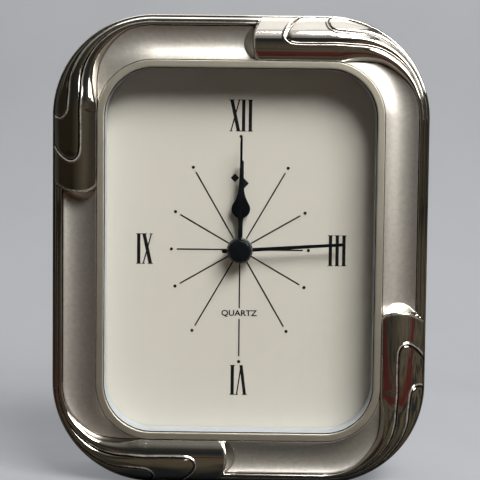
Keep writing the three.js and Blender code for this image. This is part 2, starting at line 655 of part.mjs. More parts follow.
// Two feet that reach down to the frame's lower edge
const addFeet = (cover) =>
  add(cover, ...[-16.6, 16.6].map((x) => box(x - 1.5, x + 1.5, 5.0, 10.0, 0, 2.6)));
const addScrewPosts = (cover) => CORNER_SCREWS.reduce((body, place) => remove(
  add(body, cylinder(3.2, RETAINER_DEPTH[1] + 0.1, 11, 12, place)),
  cylinder(1.4, -5, 11, 8, place),
  cylinder(2.8, 9.2, CUT_BACK, 14, place),
), cover);
const addBatteryBay = (cover) => {
  const { left, right, bottom, top, wall, front, back } = BAY;
  const walls = add(
    cover,
    box(left, right, front, back, bottom, bottom + wall),
    box(left, right, front, back, top - wall, top),
    box(left, left + wall, front, back, bottom + 0.5, top - 0.5),
    box(right - wall, right, front, back, bottom + 0.5, top - 0.5),
  );
  const opening = box(-24.6, 22.4, 9.9, CUT_BACK, 78.9, 89.2);
  const doorSeat = box(-26.0, 24.0, 10.8, CUT_BACK, 76.0, 110);
  return remove(walls, opening, doorSeat);
};
const addKnobWells = (cover) => SETTING_ARBORS.reduce((body, [x, z]) => {
  const place = [x, AXIS_Z + z];
  return remove(
    add(body, cylinder(7.6, 8.9, 11, 16, place)),
    cylinder(6.5, 10.4, CUT_BACK, 24, place),
    cylinder(1.5, 4, CUT_BACK, 10, place),
  );
}, cover);
const cutSwitchSlot = (cover) => remove(
  cover,
  switchBox(2.3, 11.3, CUT_BACK, -5.6, 5.6),
  switchBox(1.1, 9, CUT_BACK, -3.6, 3.6),
);
// Five slots behind the sounder, longest in the middle
const cutSoundSlots = (cover) => {
  const [x, z] = SOUNDER_AT;
  return remove(cover, ...[-2, -1, 0, 1, 2].map((i) => {
    const half = 4.3 - Math.abs(i) * 0.7;
    const slotZ = AXIS_Z + z + i * 2.0;
    return box(x - half, x + half, 9, CUT_BACK, slotZ - 0.45, slotZ + 0.45);
  }));
};
const rearCover = () => {
  const hollow = extrude(insetOutline(CASE_INSET + CASE_WALL), CASE_FRONT - 1, CASE_BACK - CASE_SKIN);
  let cover = remove(caseBlock, hollow);
  cover = addStandTray(cover);
  cover = addFeet(cover);
  cover = addScrewPosts(cover);
  cover = addBatteryBay(cover);
  cover = addKnobWells(cover);
  cover = cutSwitchSlot(cover);
  cover = cutSoundSlots(cover);
  // Holes for the hinge pin in the tray's side walls
  return geometry(remove(cover, hingeCylinder(0.72, 27.6, 12)));
};
// Cross-slotted screw
const caseScrew = () => cut(
  join(cylinder(1.1, -6.4, 9.5, 8), cylinder(2.5, 9.25, 10.7, 14)),
  box(-1.7, 1.7, 10.0, 12, -0.3, 0.3),
  box(-0.3, 0.3, 10.0, 12, -1.7, 1.7),
);
put("rear_cover", rearCover(), MATERIALS.black);
CORNER_SCREWS.forEach(([x, z], i) =>
  put("case_screw_" + (i + 1), caseScrew().translate(x, 0, z), MATERIALS.steel));

// ---------------------------------------------------------------- door, knobs and switch
// Plate trimmed to the outside of the case, with three grip ribs
const batteryDoor = () => {
  const plate = extrude(roundedRect(49.4, 24, 0.8, [-1, 88.35], 2), 10.9, CASE_BACK);
  const ribs = [80.2, 82, 83.8].map((z) => box(-8, 6, 11.8, 12.45, z, z + 0.7));
  return geometry(add(solid(plate).intersect(caseBlock), ...ribs));
};
// Fluted knob with a dished back and a grip bar across it
const settingKnob = () => {
  const radius = 5.6;
  const fluteDepth = 0.4;
  const flutes = 18;
  const back = 15.2;
  const points = [];
  for (let i = 0; i < flutes * 2; i++) {
    const angle = (Math.PI * i) / flutes;
    const r = i % 2 ? radius : radius - fluteDepth;
    points.push([r * Math.cos(angle), r * Math.sin(angle)]);
  }
  const knob = remove(
    solid(extrude(polygon(points), 11.2, back)),
    cylinder(1.34, 8, 13.0, 10),
    cylinder(4.0, 14.6, 16, 18),
  );
  return geometry(add(knob, box(-3.6, 3.6, 14.2, back, -0.7, 0.7)));
};
// Slider, neck and inner flange, with three grooves across the slider
const alarmSwitch = () => {
  const slider = switchBox(2.0, 11.35, 12.7, -3.7, 0.3);
  const neck = switchBox(0.9, 9.4, 11.5, -3.2, -0.2);
  const flange = switchBox(2.6, 9.2, 10.2, -3.4, 0);
  const grooves = [-2.9, -1.7, -0.5].map((z) => switchBox(3, 12.3, 13, z - 0.25, z + 0.25));
  return cut(join(slider, neck, flange), ...grooves);
};
put("battery_door", batteryDoor(), MATERIALS.black);
putOnAxis("time_set_knob", settingKnob(), MATERIALS.black, MINUTE_AT);
putOnAxis("alarm_set_knob", settingKnob(), MATERIALS.black, ALARM_AT);
put("alarm_switch", alarmSwitch(), MATERIALS.red);

// ---------------------------------------------------------------- stand
// Plate with a rounded foot, a notch in its lower edge, a shallow panel in its back and a barrel
const standLeg = () => {
  const [front, back] = [9.7, 11.9];
  const halfWidth = 12.5;
  const outline = polygon(mirrored([
    [-halfWidth, HINGE.z - 1], [-halfWidth, 8.6], [-12.0, 6.4], [-10.6, 4.6],
    [-8.6, 3.6], [-4, 3.6], [-3.2, 5.0], [-1.5, 5.9],
  ]));
  const panel = extrude(roundedRect(17, 26, 2, [0, 24], 3), 11.1, 13);
  const leg = add(
    remove(solid(extrude(outline, front, back)), panel),
    box(-halfWidth, halfWidth, front + 0.1, back, HINGE.z - 1.6, HINGE.z),
    hingeCylinder(HINGE.radius, 2 * halfWidth, 18),
  );
  return geometry(remove(leg, hingeCylinder(0.68, 40, 12)));
};
put("stand_leg", standLeg(), MATERIALS.black);
put("stand_hinge_pin", hingeCylinder(0.58, 27.2, 12), MATERIALS.steel);

export default group;
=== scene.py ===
import json
import math

import bpy
import bmesh
import numpy as np
from mathutils import Matrix, Vector


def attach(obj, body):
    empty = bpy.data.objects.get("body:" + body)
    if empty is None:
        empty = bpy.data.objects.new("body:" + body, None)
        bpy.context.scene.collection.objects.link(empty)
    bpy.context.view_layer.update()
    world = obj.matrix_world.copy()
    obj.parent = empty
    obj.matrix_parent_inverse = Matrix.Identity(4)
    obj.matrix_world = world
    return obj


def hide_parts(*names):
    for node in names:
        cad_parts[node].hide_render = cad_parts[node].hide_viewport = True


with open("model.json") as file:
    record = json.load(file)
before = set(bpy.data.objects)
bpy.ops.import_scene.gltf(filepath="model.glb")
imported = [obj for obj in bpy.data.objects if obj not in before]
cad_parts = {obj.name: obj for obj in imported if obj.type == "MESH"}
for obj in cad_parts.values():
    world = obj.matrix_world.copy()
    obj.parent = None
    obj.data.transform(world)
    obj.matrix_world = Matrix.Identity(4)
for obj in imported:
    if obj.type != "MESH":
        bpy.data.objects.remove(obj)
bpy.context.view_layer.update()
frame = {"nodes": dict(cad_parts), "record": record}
nodes = frame["nodes"]
scene = bpy.context.scene

MM = 0.001                      # metres in a millimetre
CASE_Y = 3.5
WIDTH, HEIGHT = 80.0, 100.0     # case outline
CORNER_R = 21.6                 # radius of the outline's corners
AXIS_Z = HEIGHT / 2             # height of the hands' axis
HALF_X = WIDTH / 2 - CORNER_R   # centres of the corner arcs, out from the middle
HALF_Z = HEIGHT / 2 - CORNER_R
CORNER_STEPS = 16               # segments in each corner of an outline


# ------------------------------------------------------------------ shader helpers
class Shader:
    """Short calls that add nodes to a tree; all but node() return output sockets."""

    def __init__(self, tree):
        self.tree = tree

    def feed(self, socket, value):
        """Links an output or sets a value; a colour of three numbers gets full alpha."""
        if isinstance(value, bpy.types.NodeSocket):
            self.tree.links.new(value, socket)
        elif isinstance(value, tuple):
            socket.default_value = (*value, 1)[:len(socket.default_value)]
        else:
            socket.default_value = value

    def node(self, kind, inputs=None, **settings):
        made = self.tree.nodes.new("ShaderNode" + kind)
        for key, value in settings.items():
            setattr(made, key, value)
        for key, value in (inputs or {}).items():
            self.feed(made.inputs[key], value)
        return made

    def coordinate(self, space):
        return self.node("TexCoord").outputs[space]

    def axes(self, vector):
        return self.node("SeparateXYZ", {0: vector}).outputs[:]

    def attribute(self, name):
        made = self.node("Attribute", attribute_name=name, attribute_type="GEOMETRY")
        return made.outputs["Fac"]

    def noise(self, scale, detail=4, rough=0.55, stretch=(1, 1, 1)):
        """Noise in object metres: scale is cells per metre, stretch multiplies it by axis."""
        mapped = self.node("Mapping", {"Vector": self.coordinate("Object"),
                                       "Scale": tuple(scale * s for s in stretch)})
        made = self.node("TexNoise", {"Vector": mapped.outputs["Vector"], "Scale": 1.0,
                                      "Detail": detail, "Roughness": rough, "Distortion": 0.0})
        return made.outputs["Fac"]

    def ramp(self, value, low, high, span=(0.3, 0.7)):
        """Colour from low to high as the value crosses the span."""
        made = self.node("ValToRGB", {"Fac": value})
        for stop, place, color in zip(made.color_ramp.elements, span, (low, high)):
            stop.position = place
            stop.color = (*color, 1)
        return made.outputs["Color"]

    def remap(self, value, span, to=(0, 1), **settings):
        made = self.node("MapRange", {"Value": value, "From Min": span[0], "From Max": span[1],
                                      "To Min": to[0], "To Max": to[1]}, **settings)
        return made.outputs["Result"]

    def math(self, operation, a, b):
        return self.node("Math", {0: a, 1: b}, operation=operation).outputs[0]

    def add(self, a, b):
        return self.math("ADD", a, b)

    def subtract(self, a, b):
        return self.math("SUBTRACT", a, b)

    def multiply(self, a, b):
        return self.math("MULTIPLY", a, b)

    def maximum(self, a, b):
        return self.math("MAXIMUM", a, b)

    def mix(self, factor, a, b):
        """Colour mix; the colour sockets of the node are 6, 7 and output 2."""
        return self.node("Mix", {0: factor, 6: a, 7: b}, data_type="RGBA").outputs[2]

    def mix_value(self, factor, a, b):
        return self.node("Mix", {0: factor, 2: a, 3: b}).outputs[0]

    def mix_shader(self, factor, a, b):
        return self.node("MixShader", {0: factor, 1: a, 2: b}).outputs[0]

    def add_shader(self, a, b):
        return self.node("AddShader", {0: a, 1: b}).outputs[0]


class Material(Shader):
    SOCKETS = {"color": "Base Color", "roughness": "Roughness", "metallic": "Metallic",
               "specular": "Specular IOR Level"}

    def __init__(self, name):
        self.material = bpy.data.materials.new(name)
        self.material.use_nodes = True
        super().__init__(self.material.node_tree)
        self.principled = self.tree.nodes["Principled BSDF"]

    def surface(self, **values):
        for key, value in values.items():
            self.feed(self.principled.inputs[self.SOCKETS[key]], value)

    def bump(self, height, strength, distance):
        """Adds a bump, distance in metres, on top of any the surface already has."""
        normal = self.principled.inputs["Normal"]
        made = self.node("Bump", {"Height": height, "Strength": strength, "Distance": distance})
        if normal.links:
            self.feed(made.inputs["Normal"], normal.links[0].from_socket)
        self.feed(normal, made.outputs["Normal"])

    def output(self, shader):
        self.feed(self.tree.nodes["Material Output"].inputs["Surface"], shader)


# ------------------------------------------------------------------ materials
def plated_casting():
    """Warm nickel plate. Mesh attributes: satin is 1 on the blasted cove and 0 on the polish,
    lip is 1 on the brushed inner lip, and the third is above 0 on painted highlight lines along
    the ridges and below 0 on painted shade lines in the grooves."""
    s = Material("plated_casting")
    satin, lip, worn = (s.attribute(name) for name in ("satin", "lip", "worn"))
    ragged = s.multiply(s.subtract(s.noise(900, detail=3, rough=0.6), 0.5), 0.55)
    satin = s.remap(s.add(satin, ragged), span=(0.42, 0.58), interpolation_type="SMOOTHSTEP")

    polished = s.ramp(s.noise(160, detail=5, rough=0.6), (0.62, 0.585, 0.53), (0.72, 0.69, 0.64),
                      span=(0.25, 0.75))
    blasted = s.ramp(s.noise(1100, detail=5, rough=0.75),
                     (0.505, 0.478, 0.430), (0.635, 0.606, 0.553))
    brushed = s.ramp(s.noise(300, rough=0.6), (0.56, 0.525, 0.435), (0.60, 0.565, 0.475))
    color = s.mix(lip, s.mix(satin, polished, blasted), brushed)
    # painted highlight: the ridge lines take a pale colour
    painted_highlight = s.multiply(s.maximum(worn, 0.0),
                        s.remap(s.noise(700, detail=3, rough=0.6), (0.3, 0.6), to=(0.45, 1.0)))
    color = s.mix(painted_highlight, color, (0.80, 0.78, 0.73))
    # painted shade: the groove lines take a near-black colour
    painted_shade = s.multiply(s.maximum(s.multiply(worn, -1.0), 0.0),
                       s.remap(s.noise(520, rough=0.6), (0.3, 0.6), to=(0.6, 1.0)))
    color = s.mix(s.multiply(painted_shade, 0.9), color, (0.035, 0.030, 0.026))

    # the blasted cove and the painted highlight lines scatter some light like a dull surface, the
    # lip a little
    dull = s.maximum(s.multiply(satin, 0.19), s.multiply(lip, 0.05))
    dull = s.maximum(dull, s.multiply(painted_highlight, 0.5))

    fine = s.noise(5200, detail=2, rough=0.5)
    scuffs = s.noise(130, detail=5, rough=0.7, stretch=(1, 1, 0.25))
    rough_polished = s.remap(scuffs, (0.42, 0.75), to=(0.05, 0.11))
    rough_blasted = s.remap(fine, (0.3, 0.7), to=(0.38, 0.46))
    rough_lip = s.remap(s.noise(900, detail=3, rough=0.6), (0.3, 0.7), to=(0.42, 0.48))
    roughness = s.mix_value(lip, s.mix_value(satin, rough_polished, rough_blasted), rough_lip)
    s.surface(color=color, metallic=s.subtract(1.0, dull), roughness=roughness)

    # blasted grain on the satin, hairlines on the polish, faint waviness over all
    s.bump(s.multiply(fine, s.maximum(satin, 0.04)), strength=0.35, distance=3.2e-5)
    hairlines = s.noise(2600, detail=2, rough=0.5, stretch=(1, 0.05, 1))
    s.bump(s.multiply(hairlines, s.subtract(1.0, satin)), strength=0.10, distance=4e-6)
    s.bump(s.noise(240, detail=2, rough=0.5), strength=0.06, distance=2e-5)
    return s.material


def clear_glass():
    """Clear flat glass that lets light through, with a faint smear in its reflection."""
    s = Material("clear_glass")
    clear = s.node("BsdfTransparent", {"Color": (0.985, 0.99, 0.985)}).outputs[0]
    smear = s.remap(s.noise(60, detail=5, rough=0.6), (0.4, 0.75), to=(0.01, 0.07))
    mirror = s.node("BsdfGlossy", {"Roughness": smear}).outputs[0]
    fresnel = s.node("Fresnel", {"IOR": 1.46}).outputs["Fac"]
    shadow_ray = s.node("LightPath").outputs["Is Shadow Ray"]
    strength = s.multiply(s.multiply(fresnel, 0.4), s.subtract(1.0, shadow_ray))
    s.output(s.mix_shader(strength, clear, mirror))
    return s.material


def cream_dial():
    s = Material("cream_dial")
    cream = s.ramp(s.noise(55, detail=5, rough=0.62), (0.74, 0.705, 0.635), (0.765, 0.73, 0.66))
    specks = s.noise(2400, detail=3, rough=0.6)
    color = s.mix(s.remap(specks, (0.35, 0.7), to=(0.0, 0.05)), cream, (0.55, 0.52, 0.45))
    s.surface(color=color, roughness=0.62, specular=0.3)
    s.bump(specks, strength=0.08, distance=1e-5)
    return s.material


def dial_ink():
    s = Material("dial_ink")
    color = s.ramp(s.noise(900, rough=0.6), (0.006, 0.006, 0.007), (0.016, 0.016, 0.018))
    roughness = s.remap(s.noise(1500, detail=3, rough=0.6), (0.3, 0.7), to=(0.40, 0.55))
    s.surface(color=color, roughness=roughness, specular=0.08)
    return s.material


def copper_winding():
    """Turns of wire as bands along x, the colour painted darker between the turns as shade."""
    s = Material("copper_winding")
    turns = s.node("TexWave", {"Vector": s.coordinate("Object"), "Scale": 2600,
                               "Distortion": 0.6}, bands_direction="X").outputs["Fac"]
    # painted shade and highlight: the copper darkens in the gaps between turns and lightens on
    # their tops
    color = s.ramp(turns, (0.22, 0.07, 0.03), (0.72, 0.33, 0.16), span=(0.1, 0.9))
    s.surface(color=color, metallic=0.9, roughness=0.32)
    s.bump(turns, strength=0.5, distance=4e-5)
    return s.material


def circuit_board():
    s = Material("circuit_board")
    bricks = s.node("TexBrick", {"Vector": s.coordinate("Object"), "Scale": 620,
                                 "Mortar Size": 0.05})
    patches = s.remap(s.noise(260, detail=2, rough=0.4), (0.48, 0.52))
    s.surface(color=s.mix(patches, (0.02, 0.11, 0.045), (0.035, 0.17, 0.07)), roughness=0.35)
    s.bump(bricks.outputs["Fac"], strength=0.2, distance=2e-5)
    return s.material


def battery_sleeve():
    """Dark body, a copper-coloured band toward +x and a bright tip; spans are x in metres."""
    s = Material("battery_sleeve")
    x = s.axes(s.coordinate("Object"))[0]
    band = s.remap(x, (0.0085, 0.0087))
    tip = s.remap(x, (0.0205, 0.0206))
    color = s.mix(band, (0.03, 0.032, 0.036), (0.55, 0.32, 0.14))
    color = s.mix(tip, color, (0.75, 0.74, 0.72))
    scuffs = s.remap(s.noise(300, rough=0.6), (0, 1), to=(0, 0.2))
    scuffs.node.inputs["From Min"].default_value = 0.0
    scuffs.node.inputs["From Max"].default_value = 1.0
    color = s.mix(scuffs, color, (0.2, 0.2, 0.2))
    roughness = s.remap(s.noise(500, detail=3), (0.3, 0.7), to=(0.18, 0.32))
    s.surface(color=color, roughness=roughness, metallic=0.55)
    s.bump(s.noise(800, detail=3), strength=0.08, distance=1e-5)
    return s.material


def mottled(name, low, high, scale, rough=(0.35, 0.5), metallic=0.0, bump=0.1, depth=2e-5,
            bump_scale=None, stretch=(1, 1, 1), specular=0.5):
    """Two close colours, a range of roughness and a fine bump, all from noise near one scale."""
    s = Material(name)
    color = s.ramp(s.noise(scale, detail=5, rough=0.6, stretch=stretch), low, high)
    patches = s.noise(scale * 3.1, rough=0.6, stretch=stretch)
    s.surface(color=color, roughness=s.remap(patches, (0.3, 0.7), to=rough),
              metallic=metallic, specular=specular)
    grain = s.noise(bump_scale or scale * 4, detail=3, rough=0.6, stretch=stretch)
    s.bump(grain, strength=bump, distance=depth)
    return s.material


# by the slot names of the frame's record, with the dial's ink and the minute boss's grey added
MAT = {
    "silver_plate": plated_casting(),
    "clear_glass": clear_glass(),
    "cream_dial": cream_dial(),
    "ink": dial_ink(),
    "white_ring": mottled("white_ring", (0.47, 0.50, 0.54), (0.53, 0.56, 0.60), scale=300,
                          rough=(0.28, 0.4), bump=0.05),
    "hand_black": mottled("hand_lacquer", (0.003, 0.004, 0.006), (0.006, 0.008, 0.011),
                          scale=700, rough=(0.16, 0.3), bump=0.06, depth=8e-6, specular=0.12),
    "case_black": mottled("spark_textured_plastic", (0.030, 0.030, 0.032),
                          (0.054, 0.054, 0.057), scale=900, rough=(0.34, 0.50), bump=0.45,
                          depth=2.2e-5, bump_scale=3600, specular=0.4),
    "nylon": mottled("moulded_nylon", (0.70, 0.665, 0.56), (0.80, 0.77, 0.67), scale=420,
                     rough=(0.3, 0.45), depth=1.2e-5),
    "steel": mottled("bright_steel", (0.50, 0.50, 0.50), (0.66, 0.66, 0.65), scale=900,
                     rough=(0.18, 0.36), metallic=1.0, bump=0.12, depth=8e-6,
                     stretch=(1, 6, 1)),
    "brass": mottled("turned_brass", (0.62, 0.42, 0.15), (0.78, 0.57, 0.24), scale=700,
                     rough=(0.2, 0.36), metallic=1.0, depth=8e-6),
    "magnet": mottled("sintered_magnet", (0.05, 0.05, 0.055), (0.11, 0.11, 0.115), scale=2200,
                      rough=(0.45, 0.65), metallic=0.5, bump=0.4),
    "winding": copper_winding(),
    "board": circuit_board(),
    "epoxy": mottled("poured_epoxy", (0.008, 0.008, 0.009), (0.02, 0.02, 0.021), scale=500,
                     rough=(0.12, 0.3), bump=0.2, depth=5e-5, bump_scale=500),
    "cell": battery_sleeve(),
    "wire_red": mottled("red_sheath", (0.36, 0.018, 0.018), (0.50, 0.035, 0.03), scale=500,
                        rough=(0.3, 0.45)),
    "wire_black": mottled("black_sheath", (0.01, 0.01, 0.011), (0.025, 0.025, 0.027),
                          scale=500),
    "ring_grey": mottled("turned_grey_ring", (0.20, 0.205, 0.21), (0.32, 0.325, 0.33),
                         scale=900, rough=(0.22, 0.34), metallic=0.9, depth=6e-6),
}


# ------------------------------------------------------------------ mesh helpers
def shade(mesh, angle=35):
    """Smooth shading, with edges sharper than the angle in degrees kept crisp."""
    mesh.shade_smooth()
    mesh.set_sharp_from_angle(angle=math.radians(angle))


def place(mesh, name, material, angle=35):
    """Puts a mesh in the scene; angle None leaves it flat shaded."""
    obj = bpy.data.objects.new(name, mesh)
    scene.collection.objects.link(obj)
    mesh.materials.clear()
    mesh.materials.append(material)
    if angle is not None:
        shade(mesh, angle)
    return obj


def clean(mesh, merge=False, dissolve=False, outward=False):
    """Merges doubled points, dissolves empty faces, turns the faces outward, as asked."""
    bm = bmesh.new()
    bm.from_mesh(mesh)
    if merge:
        bmesh.ops.remove_doubles(bm, verts=bm.verts, dist=1e-7)
    if dissolve:
        bmesh.ops.dissolve_degenerate(bm, edges=bm.edges, dist=1e-7)
    if outward:
        bmesh.ops.recalc_face_normals(bm, faces=bm.faces)
    bm.to_mesh(mesh)
    bm.free()


def case_mesh(name, points, faces, outward=True):
    """Mesh from points in case millimetres."""
    mesh = bpy.data.meshes.new(name)
    mesh.from_pydata([(x * MM, (y + CASE_Y) * MM, z * MM) for x, y, z in points], [], faces)
    if outward:
        clean(mesh, outward=True)
    return mesh


def outline(inset):
    """The case's outline moved inward, as (x, z), counter-clockwise from the lower right."""
    points = []
    for side_x, side_z, start in ((1, -1, -90), (1, 1, 0), (-1, 1, 90), (-1, -1, 180)):
        for i in range(CORNER_STEPS + 1):
            angle = math.radians(start + 90 * i / CORNER_STEPS)
            points.append((side_x * HALF_X + (CORNER_R - inset) * math.cos(angle),
                           AXIS_Z + side_z * HALF_Z + (CORNER_R - inset) * math.sin(angle)))
    return points


def at_depth(points, y):
    return [(x, y, z) for x, z in points]


def from_rings(name, rings, material, angle=35, hollow=False):
    """Skins equal rings in turn: ends capped, or when hollow the last ring joins the first."""
    n = len(rings[0])
    faces = []
    for k in range(len(rings) if hollow else len(rings) - 1):
        after = (k + 1) % len(rings)
        for i in range(n):
            j = (i + 1) % n
            faces.append((k * n + i, k * n + j, after * n + j, after * n + i))
    if not hollow:
        faces.append(tuple(reversed(range(n))))
        faces.append(tuple((len(rings) - 1) * n + i for i in range(n)))
    points = [point for ring in rings for point in ring]
    return place(case_mesh(name, points, faces), name, material, angle)


def outline_band(name, section, material):
    """Band that follows the case's outline; section is a loop of (inset, y)."""
    rings = [at_depth(outline(inset), y) for inset, y in section]
    return from_rings(name, rings, material, hollow=True)


def inset_polygon(points, distance):
    """Moves a counter-clockwise polygon's points inward along their corner normals."""
    moved = []
    for i, here in enumerate(points):
        before = Vector(here) - Vector(points[i - 1])
        after = Vector(points[(i + 1) % len(points)]) - Vector(here)
        before.normalize()
        after.normalize()
        normal = Vector((-before.y, before.x))
        middle = normal + Vector((-after.y, after.x))
        middle.normalize()
        reach = distance / max(0.35, middle.dot(normal))    # limits the reach of sharp corners
        moved.append((here[0] + middle.x * reach, here[1] + middle.y * reach))
    return moved


def slab(name, points, front, back, front_edge, back_edge):
    """Flat black piece between two depths, with a rounded front edge and back edge."""
    steps = 3
    turns = [math.pi / 2 * i / steps for i in range(steps + 1)]
    rings = [at_depth(inset_polygon(points, front_edge * (1 - math.sin(a))),
                      front + front_edge * (1 - math.cos(a))) for a in turns]
    rings += [at_depth(inset_polygon(points, back_edge * (1 - math.cos(a))),
                       back - back_edge * (1 - math.sin(a))) for a in turns]
    return from_rings(name, rings, MAT["hand_black"])


def turned(name, profile, material, segments):
    """Lathe about the hands' axis; profile is (radius, y) from front to back, ends on axis."""
    points, faces, rings = [], [], []
    for radius, y in profile:
        count = segments if radius else 1
        rings.append(range(len(points), len(points) + count))
        for i in range(count):
            angle = 2 * math.pi * i / segments
            points.append((radius * math.cos(angle), y, AXIS_Z + radius * math.sin(angle)))
    for a, b in zip(rings, rings[1:]):
        for i in range(segments):
            j = (i + 1) % segments
            if len(a) == 1:
                faces.append((a[0], b[j], b[i]))
            elif len(b) == 1:
                faces.append((a[i], a[j], b[0]))
            else:
                faces.append((a[i], a[j], b[j], b[i]))
    return place(case_mesh(name, points, faces), name, material)


def boolean(obj, tool, operation):
    """Applies an exact boolean and removes the tool object."""
    modifier = obj.modifiers.new("b", "BOOLEAN")
    modifier.operation = operation
    modifier.solver = "EXACT"
    modifier.object = tool
    depsgraph = bpy.context.evaluated_depsgraph_get()
    result = bpy.data.meshes.new_from_object(obj.evaluated_get(depsgraph))
    obj.modifiers.remove(modifier)
    old = obj.data
    obj.data = result
    bpy.data.meshes.remove(old)
    bpy.data.objects.remove(tool)
    return obj


def part(obj, body, replaced=None):
    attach(obj, body)
    if replaced:
        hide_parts(replaced)


# ------------------------------------------------------------------ front frame: its tables
# Each side of the case carries one ornament: a wave that widens from the narrow rim at the end
# of a corner to its tip on the straight before that corner. Run is the length along the outline,
# clockwise as seen from the front, 0 where the corner's arc starts. Inset is the distance inward.
BEAD = 0.42                     # inset of the inner side of the plain outermost bead
RIM = 2.35                      # inset where the narrow rim meets the blasted cove
LIP = 9.7                       # inset where the cove meets the lip
RIM_H, LIP_H = 11.1, 12.0       # heights toward the viewer at the two ends of the cove
WAVE_OUT_H = 9.6                # height of the wave beside the bead
RUN_END = 33.9                  # run where an ornament has thinned to the plain rim


def curve(pairs):
    """Monotone cubic through a table of (x, y)."""
    x, y = (np.array(v, float) for v in zip(*pairs))
    step = np.diff(x)
    slope = np.diff(y) / step
    tangent = np.zeros_like(y)
    for i in range(1, len(x) - 1):
        if slope[i - 1] * slope[i] > 0:
            w1 = 2 * step[i] + step[i - 1]
            w2 = step[i] + 2 * step[i - 1]
            tangent[i] = (w1 + w2) / (w1 / slope[i - 1] + w2 / slope[i])
    tangent[0], tangent[-1] = slope[0], slope[-1]
    xs = np.linspace(x[0], x[-1], 2400)
    k = np.clip(np.searchsorted(x, xs) - 1, 0, len(step) - 1)
    s = (xs - x[k]) / step[k]
    ys = ((1 + 2 * s) * (1 - s) ** 2 * y[k] + s * (1 - s) ** 2 * step[k] * tangent[k]
          + s * s * (3 - 2 * s) * y[k + 1] + s * s * (s - 1) * step[k] * tangent[k + 1])
    return lambda q: np.interp(q, xs, ys)


def spline(points):
    """Catmull-Rom through evenly spaced points, as a dense polyline."""
    p = np.array([points[0], *points, points[-1]], float)
    line = []
    for a, b, c, d in zip(p, p[1:], p[2:], p[3:]):
        for s in np.linspace(0, 1, 7, endpoint=False):
            line.append(0.5 * (2 * b + (c - a) * s + (2 * a - 5 * b + 4 * c - d) * s * s
                               + (3 * b - a - 3 * c + d) * s ** 3))
    line.append(p[-2])
    return [tuple(point) for point in line]


# (run, inset) of the wave's inner edge and of the two grooves outward of it
WAVE_EDGE = curve([
    (-60, 9.7), (2.0, 9.7), (4, 9.6), (6, 9.3), (8, 8.8), (10, 8.2), (12.8, 7.2), (16.9, 5.5),
    (20.8, 4.3), (23.7, 3.45), (25.7, 2.95), (28, 2.6), (31, 2.4), (33.9, 2.35)])
INNER_GROOVE = curve([
    (-60, 6.1), (-3, 6.1), (0, 6.05), (3, 5.95), (6.4, 5.55), (10.5, 4.45), (14.3, 3.4),
    (18, 2.6), (20.8, 2.1), (23, 1.82), (26, 1.6), (30, 1.5), (33.9, 1.5)])
OUTER_GROOVE = curve([
    (-60, 3.2), (1, 3.2), (3.5, 3.12), (6, 2.8), (8.7, 2.1), (11.4, 1.6), (14.6, 1.2),
    (17.2, 0.95), (20, 0.8), (25, 0.66), (30, 0.6), (33.9, 0.58)])
# (run, size of the grooves and raised lines against their size at the tip)
LINE_SIZE = curve([(-60, 1.0), (6, 1.0), (12, 0.8), (18, 0.55), (24, 0.36), (33.9, 0.25)])
# (inset, run) of the wave's tip, where its slope reaches full height and where it starts
TIP_TOP = curve([
    (0, -13.7), (0.7, -14.2), (2.2, -15.05), (3.5, -15.65), (4.9, -15.95), (6.5, -16.0),
    (7.9, -15.75), (9.0, -15.15), (9.8, -14.2)])
TIP_FOOT = curve([
    (0, -13.95), (0.7, -14.5), (2.2, -15.6), (3.1, -16.45), (4.2, -17.3), (5.7, -17.75),
    (7.0, -17.65), (8.3, -17.0), (9.2, -16.1), (9.8, -14.7)])
# (run, inset) round the rounded tips of the two fingers the grooves enclose
INNER_TIP = spline([
    (-4.9, -0.8), (-5.7, 0.1), (-6.5, 0.8), (-7.35, 1.5), (-8.1, 2.25), (-8.7, 3.05),
    (-9.1, 3.85), (-9.2, 4.6), (-8.9, 5.25), (-8.25, 5.75), (-7.35, 6.0), (-6.3, 6.08),
    (-5.2, 6.1), (-4.1, 6.1)])
OUTER_TIP = spline([
    (1.6, -0.8), (0.9, -0.1), (0.3, 0.5), (-0.1, 1.1), (-0.2, 1.7), (0.0, 2.3), (0.45, 2.75),
    (1.1, 3.05), (1.9, 3.17), (2.8, 3.16)])


# ------------------------------------------------------------------ front frame: its surface
def clip01(x):
    return np.clip(x, 0, 1)


def smoothstep(x):
    q = clip01(x)
    return q * q * (3 - 2 * q)


def line(offset, width):
    """1 on a line, falling off to both sides over about the width."""
    return np.exp(-(offset / width) ** 2)


def fade(offset, width):
    """0 to 1 across a border of the width centred on offset 0."""
    return clip01(0.5 + offset / width)


def bulge(q):
    return clip01(1 - (2 * q - 1) ** 2)


def line_size(run):
    return np.maximum(LINE_SIZE(run), 0.34)


def distance_to(run, inset, path):
    best = np.full(run.shape, 1e9)
    for (a, b), (c, d) in zip(path, path[1:]):
        dx, dy = c - a, d - b
        s = clip01(((run - a) * dx + (inset - b) * dy) / max(dx * dx + dy * dy, 1e-12))
        best = np.minimum(best, (run - a - s * dx) ** 2 + (inset - b - s * dy) ** 2)
    return np.sqrt(best)


def inside(run, inset, polygon):
    result = np.zeros(run.shape, bool)
    for (a, b), (c, d) in zip(polygon, polygon[1:] + polygon[:1]):
        if b != d:
            crosses = (b > inset) != (d > inset)
            result ^= crosses & (run < (c - a) * (inset - b) / (d - b) + a)
    return result


